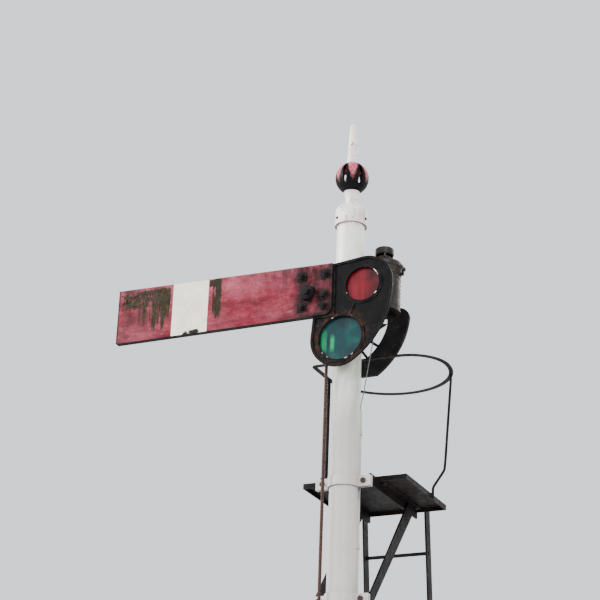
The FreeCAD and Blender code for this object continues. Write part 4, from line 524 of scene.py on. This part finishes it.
# ---------------------------------------------------------------- small pieces grown by rules
def new_tree(name, sizes):
    """A geometry tree with named sizes as its inputs."""
    tree = bpy.data.node_groups.new(name, "GeometryNodeTree")
    tree.interface.new_socket("Geometry", in_out="OUTPUT", socket_type="NodeSocketGeometry")
    for label, value in sizes.items():
        kind = "NodeSocketInt" if isinstance(value, int) else "NodeSocketFloat"
        tree.interface.new_socket(label, in_out="INPUT", socket_type=kind)
    return tree


def grow(name, tree, sizes, material, body):
    """Runs the tree once with its sizes and keeps the result as a plain mesh that rides on a body."""
    holder = bpy.data.objects.new(name + "_seed", bpy.data.meshes.new(name + "_seed"))
    bpy.context.scene.collection.objects.link(holder)
    modifier = holder.modifiers.new("grow", "NODES")
    modifier.node_group = tree
    for item in tree.interface.items_tree:
        if item.in_out == "INPUT":
            modifier[item.identifier] = sizes[item.name]
    bpy.context.view_layer.update()
    grown = holder.evaluated_get(bpy.context.evaluated_depsgraph_get())
    mesh = bpy.data.meshes.new_from_object(grown)
    holder.modifiers.clear()
    bpy.data.objects.remove(holder)
    mesh.name = name
    mesh.materials.clear()
    mesh.materials.append(material)
    piece = bpy.data.objects.new(name, mesh)
    bpy.context.scene.collection.objects.link(piece)
    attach(piece, body)
    return piece


def end_tree(tree, shape, material):
    """Makes every copy real, coats it and gives it as the tree's result."""
    real = add(tree, "GeometryNodeRealizeInstances", {"Geometry": shape})
    coated = add(tree, "GeometryNodeSetMaterial", {"Geometry": real, "Material": material})
    add(tree, "NodeGroupOutput", {"Geometry": coated})


def set_down(tree, shape, x, y, z, turn=(0.0, 0.0, 0.0)):
    """Turns a shape that was made at the origin and moves it to its place."""
    spot = add(tree, "ShaderNodeCombineXYZ", {"X": x, "Y": y, "Z": z})
    return add(tree, "GeometryNodeTransform", {"Geometry": shape, "Translation": spot, "Rotation": turn})


def turned_head(tree, radius, height):
    """A low domed head on its own centre line, along Z."""
    dome = add(tree, "GeometryNodeMeshUVSphere", {"Segments": 12, "Rings": 6, "Radius": radius})
    squash = add(tree, "ShaderNodeMath", {0: height, 1: radius}, operation="DIVIDE")
    flat = add(tree, "ShaderNodeCombineXYZ", {"X": 1.0, "Y": 1.0, "Z": squash})
    return add(tree, "GeometryNodeTransform", {"Geometry": dome, "Scale": flat})


def bezel_beads(material):
    """A bead of putty round the front of each glass."""
    for name, place in (("red_bezel", RED_PLACE), ("green_bezel", GREEN_PLACE)):
        across, up = glass_centre(place)
        sizes = {"Radius": place[2] + 0.0016, "Bead": 0.0024, "X": across, "Y": SEAT_FRONT, "Z": up}
        tree = new_tree(name, sizes)
        ring_r, bead, x, y, z = [add(tree, "NodeGroupInput", out=key) for key in sizes]
        ring = add(tree, "GeometryNodeCurvePrimitiveCircle", {"Resolution": 96, "Radius": ring_r})
        profile = add(tree, "GeometryNodeCurvePrimitiveCircle", {"Resolution": 12, "Radius": bead})
        bead_mesh = add(tree, "GeometryNodeCurveToMesh", {"Curve": ring, "Profile Curve": profile})
        end_tree(tree, set_down(tree, bead_mesh, x, y, z, (math.pi / 2, 0, 0)), material)
        grow(name, tree, sizes, material, "arm")


def ring_screws(material):
    """Screws that hold the rear ring behind each glass."""
    for name, count, place in (("red_ring_screws", 6, RED_PLACE), ("green_ring_screws", 8, GREEN_PLACE)):
        across, up = glass_centre(place)
        sizes = {"Count": count, "Radius": place[2] + 0.003, "Head": 0.0035, "High": 0.0022,
                 "X": across, "Y": RING_BACK, "Z": up}
        tree = new_tree(name, sizes)
        number, ring_r, head, tall, x, y, z = [add(tree, "NodeGroupInput", out=key) for key in sizes]
        ring = add(tree, "GeometryNodeMeshCircle", {"Vertices": number, "Radius": ring_r})
        heads = add(tree, "GeometryNodeInstanceOnPoints",
                    {"Points": ring, "Instance": turned_head(tree, head, tall)})
        end_tree(tree, set_down(tree, heads, x, y, z, (-math.pi / 2, 0, 0)), material)
        grow(name, tree, sizes, material, "arm")


def board_lichen(material):
    """Lumps of lichen over the tip's upper corner, along the board's top edge and beside the white band.
    Each bed is its piece's name, width, depth, place, turn, lumps to the square metre and seed."""
    upright = (math.pi / 2, 0.0, 0.0)
    along_top = (0.0, math.radians(1.08), 0.0)
    beds = [
        ("lichen_tip", 0.150, 0.130, (BOARD_TIP + 0.090, BOARD_FRONT, ARM_LEVEL + 0.085), upright,
         9000.0, 3),
        ("lichen_top", 0.62, 0.026, (BOARD_TIP + 0.345, BOARD_FRONT + 0.017, ARM_LEVEL + 0.1645), along_top,
         5200.0, 8),
        ("lichen_run", 0.045, 0.170, (STRIPE_END + 0.030, BOARD_FRONT, ARM_LEVEL + 0.055), upright,
         3500.0, 5),
    ]
    for name, wide, deep, place, turn, crowd, seed in beds:
        sizes = {"Width": wide, "Depth": deep, "Crowd": crowd, "Lump": 0.0030, "Seed": seed,
                 "X": place[0], "Y": place[1], "Z": place[2]}
        tree = new_tree(name, sizes)
        width, depth, density, lump, start, x, y, z = [add(tree, "NodeGroupInput", out=key) for key in sizes]
        sheet = add(tree, "GeometryNodeMeshGrid",
                    {"Size X": width, "Size Y": depth, "Vertices X": 30, "Vertices Y": 30})
        cloud = add(tree, "ShaderNodeTexNoise", {"Scale": 34.0, "Detail": 3.0})
        thick = add(tree, "ShaderNodeMapRange", {"Value": cloud, "From Min": 0.46, "From Max": 0.66})
        crowded = add(tree, "ShaderNodeMath", {0: thick, 1: density}, operation="MULTIPLY")
        spots = add(tree, "GeometryNodeDistributePointsOnFaces",
                    {"Mesh": sheet, "Density": crowded, "Seed": start})
        tuft = add(tree, "GeometryNodeMeshIcoSphere", {"Radius": lump, "Subdivisions": 2})
        size = add(tree, "FunctionNodeRandomValue",
                   {"Min": (0.5, 0.5, 0.25), "Max": (1.6, 1.6, 0.7), "Seed": start}, data_type="FLOAT_VECTOR")
        lumps = add(tree, "GeometryNodeInstanceOnPoints", {"Points": spots, "Instance": tuft, "Scale": size})
        end_tree(tree, set_down(tree, lumps, x, y, z, turn), material)
        grow(name, tree, sizes, material, "arm")


def deck_tread(material):
    """Raised diamonds in rows over the platform's deck, turned left and right by turns."""
    low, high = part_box("platform_deck")
    rim = 0.035
    pitch = 0.036
    columns = int((high[0] - low[0] - 2 * rim) / pitch)
    rows = int((high[1] - low[1] - 2 * rim) / pitch)
    sizes = {"Columns": columns, "Rows": rows, "Pitch": pitch, "Long": 0.023, "Wide": 0.007, "High": 0.0016,
             "X": (low[0] + high[0]) / 2, "Y": (low[1] + high[1]) / 2, "Z": high[2]}
    tree = new_tree("deck_tread", sizes)
    ends = [add(tree, "NodeGroupInput", out=key) for key in sizes]
    across, along, step, length, width, tall, x, y, z = ends
    span_x = add(tree, "ShaderNodeMath", {0: across, 1: step}, operation="MULTIPLY")
    span_y = add(tree, "ShaderNodeMath", {0: along, 1: step}, operation="MULTIPLY")
    grid = add(tree, "GeometryNodeMeshGrid",
               {"Size X": span_x, "Size Y": span_y, "Vertices X": across, "Vertices Y": along})
    bead = add(tree, "GeometryNodeMeshUVSphere", {"Segments": 8, "Rings": 4, "Radius": 0.5})
    shape = add(tree, "ShaderNodeCombineXYZ", {"X": length, "Y": width, "Z": tall})
    lozenge = add(tree, "GeometryNodeTransform", {"Geometry": bead, "Scale": shape})
    number = add(tree, "GeometryNodeInputIndex")
    row = add(tree, "ShaderNodeMath", {0: number, 1: along}, operation="DIVIDE")
    row = add(tree, "ShaderNodeMath", {0: row}, operation="FLOOR")
    turn = add(tree, "ShaderNodeMath", {0: number, 1: row}, operation="ADD")
    odd = add(tree, "ShaderNodeMath", {0: turn, 1: 2.0}, operation="MODULO")
    swing = add(tree, "ShaderNodeMapRange", {"Value": odd, "To Min": -math.pi / 4, "To Max": math.pi / 4})
    heading = add(tree, "ShaderNodeCombineXYZ", {"Z": swing})
    tread = add(tree, "GeometryNodeInstanceOnPoints",
                {"Points": grid, "Instance": lozenge, "Rotation": heading})
    end_tree(tree, set_down(tree, tread, x, y, z), material)
    grow("deck_tread", tree, sizes, material, "post")


def rung_rivets(material):
    """Peened heads where each rung's end comes through its stile."""
    low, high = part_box("ladder_rungs")
    pitch = (high[2] - low[2] - 2 * RUNG_R) / RUNG_GAPS
    lean = (low[1] - high[1] + 2 * RUNG_R) / RUNG_GAPS
    for name, side, face in (("rung_heads_left", -1, low[0]), ("rung_heads_right", 1, high[0])):
        sizes = {"Count": RUNG_GAPS + 1, "Head": 0.0125, "High": 0.004, "Rise": pitch, "Lean": lean,
                 "X": face - side * 0.004, "Y": high[1] - RUNG_R, "Z": low[2] + RUNG_R}
        tree = new_tree(name, sizes)
        number, head, tall, rise, back, x, y, z = [add(tree, "NodeGroupInput", out=key) for key in sizes]
        start = add(tree, "ShaderNodeCombineXYZ", {"X": x, "Y": y, "Z": z})
        step = add(tree, "ShaderNodeCombineXYZ", {"Y": back, "Z": rise})
        line = add(tree, "GeometryNodeMeshLine", {"Count": number, "Start Location": start, "Offset": step})
        cap = add(tree, "GeometryNodeTransform",
                  {"Geometry": turned_head(tree, head, tall), "Rotation": (0, math.pi / 2, 0)})
        heads = add(tree, "GeometryNodeInstanceOnPoints", {"Points": line, "Instance": cap})
        end_tree(tree, heads, material)
        grow(name, tree, sizes, material, "post")


def lamp_bands(material):
    """Swaged ribs round the lamp's case, low and high."""
    low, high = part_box("lamp_case")
    sizes = {"Radius": 0.0828, "Bead": 0.0024, "Low": low[2] + 0.026, "Rise": 0.150,
             "X": (low[0] + high[0]) / 2, "Y": (low[1] + high[1]) / 2}
    tree = new_tree("lamp_bands", sizes)
    case_r, bead, base, rise, x, y = [add(tree, "NodeGroupInput", out=key) for key in sizes]
    ring = add(tree, "GeometryNodeCurvePrimitiveCircle", {"Resolution": 72, "Radius": case_r})
    profile = add(tree, "GeometryNodeCurvePrimitiveCircle", {"Resolution": 8, "Radius": bead})
    band = add(tree, "GeometryNodeCurveToMesh", {"Curve": ring, "Profile Curve": profile})
    start = add(tree, "ShaderNodeCombineXYZ", {"X": x, "Y": y, "Z": base})
    step = add(tree, "ShaderNodeCombineXYZ", {"Z": rise})
    levels = add(tree, "GeometryNodeMeshLine", {"Count": 2, "Start Location": start, "Offset": step})
    bands = add(tree, "GeometryNodeInstanceOnPoints", {"Points": levels, "Instance": band})
    end_tree(tree, bands, material)
    grow("lamp_bands", tree, sizes, material, "post")


def lamp_seam_rivets(material):
    """A row of rivets up the seam of the lamp's case."""
    low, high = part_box("lamp_case")
    seam = math.radians(20)
    sizes = {"Count": 7, "Head": 0.0030, "Rise": 0.020,
             "X": (low[0] + high[0]) / 2 + LAMP_CASE_R * math.cos(seam),
             "Y": (low[1] + high[1]) / 2 + LAMP_CASE_R * math.sin(seam), "Z": low[2] + 0.045}
    tree = new_tree("lamp_seam_rivets", sizes)
    number, head, rise, x, y, z = [add(tree, "NodeGroupInput", out=key) for key in sizes]
    start = add(tree, "ShaderNodeCombineXYZ", {"X": x, "Y": y, "Z": z})
    step = add(tree, "ShaderNodeCombineXYZ", {"Z": rise})
    line = add(tree, "GeometryNodeMeshLine", {"Count": number, "Start Location": start, "Offset": step})
    dome = add(tree, "GeometryNodeMeshUVSphere", {"Segments": 10, "Rings": 6, "Radius": head})
    rivets = add(tree, "GeometryNodeInstanceOnPoints", {"Points": line, "Instance": dome})
    end_tree(tree, rivets, material)
    grow("lamp_seam_rivets", tree, sizes, material, "post")


# ---------------------------------------------------------------- finishes of the solid parts
def dress(material, *names):
    """Puts one finish on solid parts."""
    for name in names:
        node = NODES[name]
        node.data.materials.clear()
        node.data.materials.append(material)


def dress_all():
    """A finish for every solid part; gives back the three that small pieces share."""
    casting = black_iron("bitumen_black_on_forged_brackets", 0.45)
    bars = black_iron("bitumen_black_on_rolled_bars", 0.6, "#131213", "#29251f")
    lamp = lamp_tin()
    fixings = rusted_steel("zinc_plated_bolts_gone_brown", "#2c2522", "#47342a")
    brown = rusted_steel("mild_steel_rod_rust_skin")
    dress(white_gloss(), "post_tube", "finial_cap", "finial_spike", "platform_clamp_front",
          "platform_clamp_rear", "lower_clamps", "conduit", "conduit_clips")
    dress(glass_casting(), "spectacle_casting", "glass_rings")
    dress(casting, "bearing_bracket", "bearing_strap", "spindle_nut", "blinder", "lever_bracket",
          "lever_bracket_strap", "balance_weight", "wire_wheel", "wheel_bracket", "rod_fork", "lamp_bracket",
          "lamp_bracket_strap", "arm_bolts", "rod_pin")
    dress(bars, "platform_deck", "platform_bearers", "platform_struts", "hoop_ring", "stanchion_left",
          "stanchion_right", "ladder_stiles", "ladder_rungs", "ladder_stays", "balance_lever")
    dress(black_iron("bitumen_black_on_foot_casting", 0.5, "#191817", "#3b362e"), "base_casting")
    dress(ball_paint(), "finial_ball")
    dress(red_board(), "arm_board")
    dress(brown, "down_rod")
    dress(fixings, "clamp_bolts", "deck_bolts", "finial_screws")
    dress(turned_steel(), "spindle", "fulcrum_pin", "wheel_pin")
    dress(old_brass("gunmetal_bored_and_greased", "#4f3c24", "#8a6b3a", 0.25), "spindle_bushes")
    low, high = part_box("red_glass")
    # Painted light: a brighter band over the left of the red glass, for sky seen through it.
    sky_glow_bands = [(low[0] - 0.01, high[0] - 0.06, low[2] - 0.02, high[2] + 0.02)]
    ruby = signal_glass("ruby_signal_glass_cast", "#38020b", "#560511", "#6e0918", "#2c1016",
                        "#8c1024", sky_glow_bands)
    dress(ruby, "red_glass")
    low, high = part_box("green_glass")
    middle = (low[2] + high[2]) / 2
    # Painted light: two brighter bands over the left of the green glass, for sky seen through it.
    sky_glow_bands = [(low[0] + 0.008, low[0] + 0.046, middle - 0.075, middle + 0.065),
              (low[0] + 0.058, low[0] + 0.086, middle - 0.070, middle + 0.030)]
    emerald = signal_glass("blue_green_signal_glass_cast", "#032a30", "#06393f", "#0a4f4a", "#10282a",
                           "#06a868", sky_glow_bands)
    dress(emerald, "green_glass")
    dress(lens_glass(), "front_lens", "back_lens")
    dress(lamp, "lamp_case", "lamp_foot", "lens_rings", "lamp_lid", "lid_hinge", "lamp_chimney")
    dress(old_brass("brass_drawn_oil_stained", "#544026", "#a5874f", 0.28),
          "lamp_font", "lamp_burner", "lead_gland")
    dress(lead_sheath(), "lamp_lead")
    return bars, lamp, fixings


def fit_small_pieces(bars, lamp, fixings):
    """The small pieces that are only looks."""
    bezel_beads(bezel_bead())
    ring_screws(fixings)
    board_lichen(lichen_crust())
    deck_tread(bars)
    rung_rivets(bars)
    lamp_bands(lamp)
    lamp_seam_rivets(lamp)


make_camera()
make_studio()
make_floor()
fit_small_pieces(*dress_all())
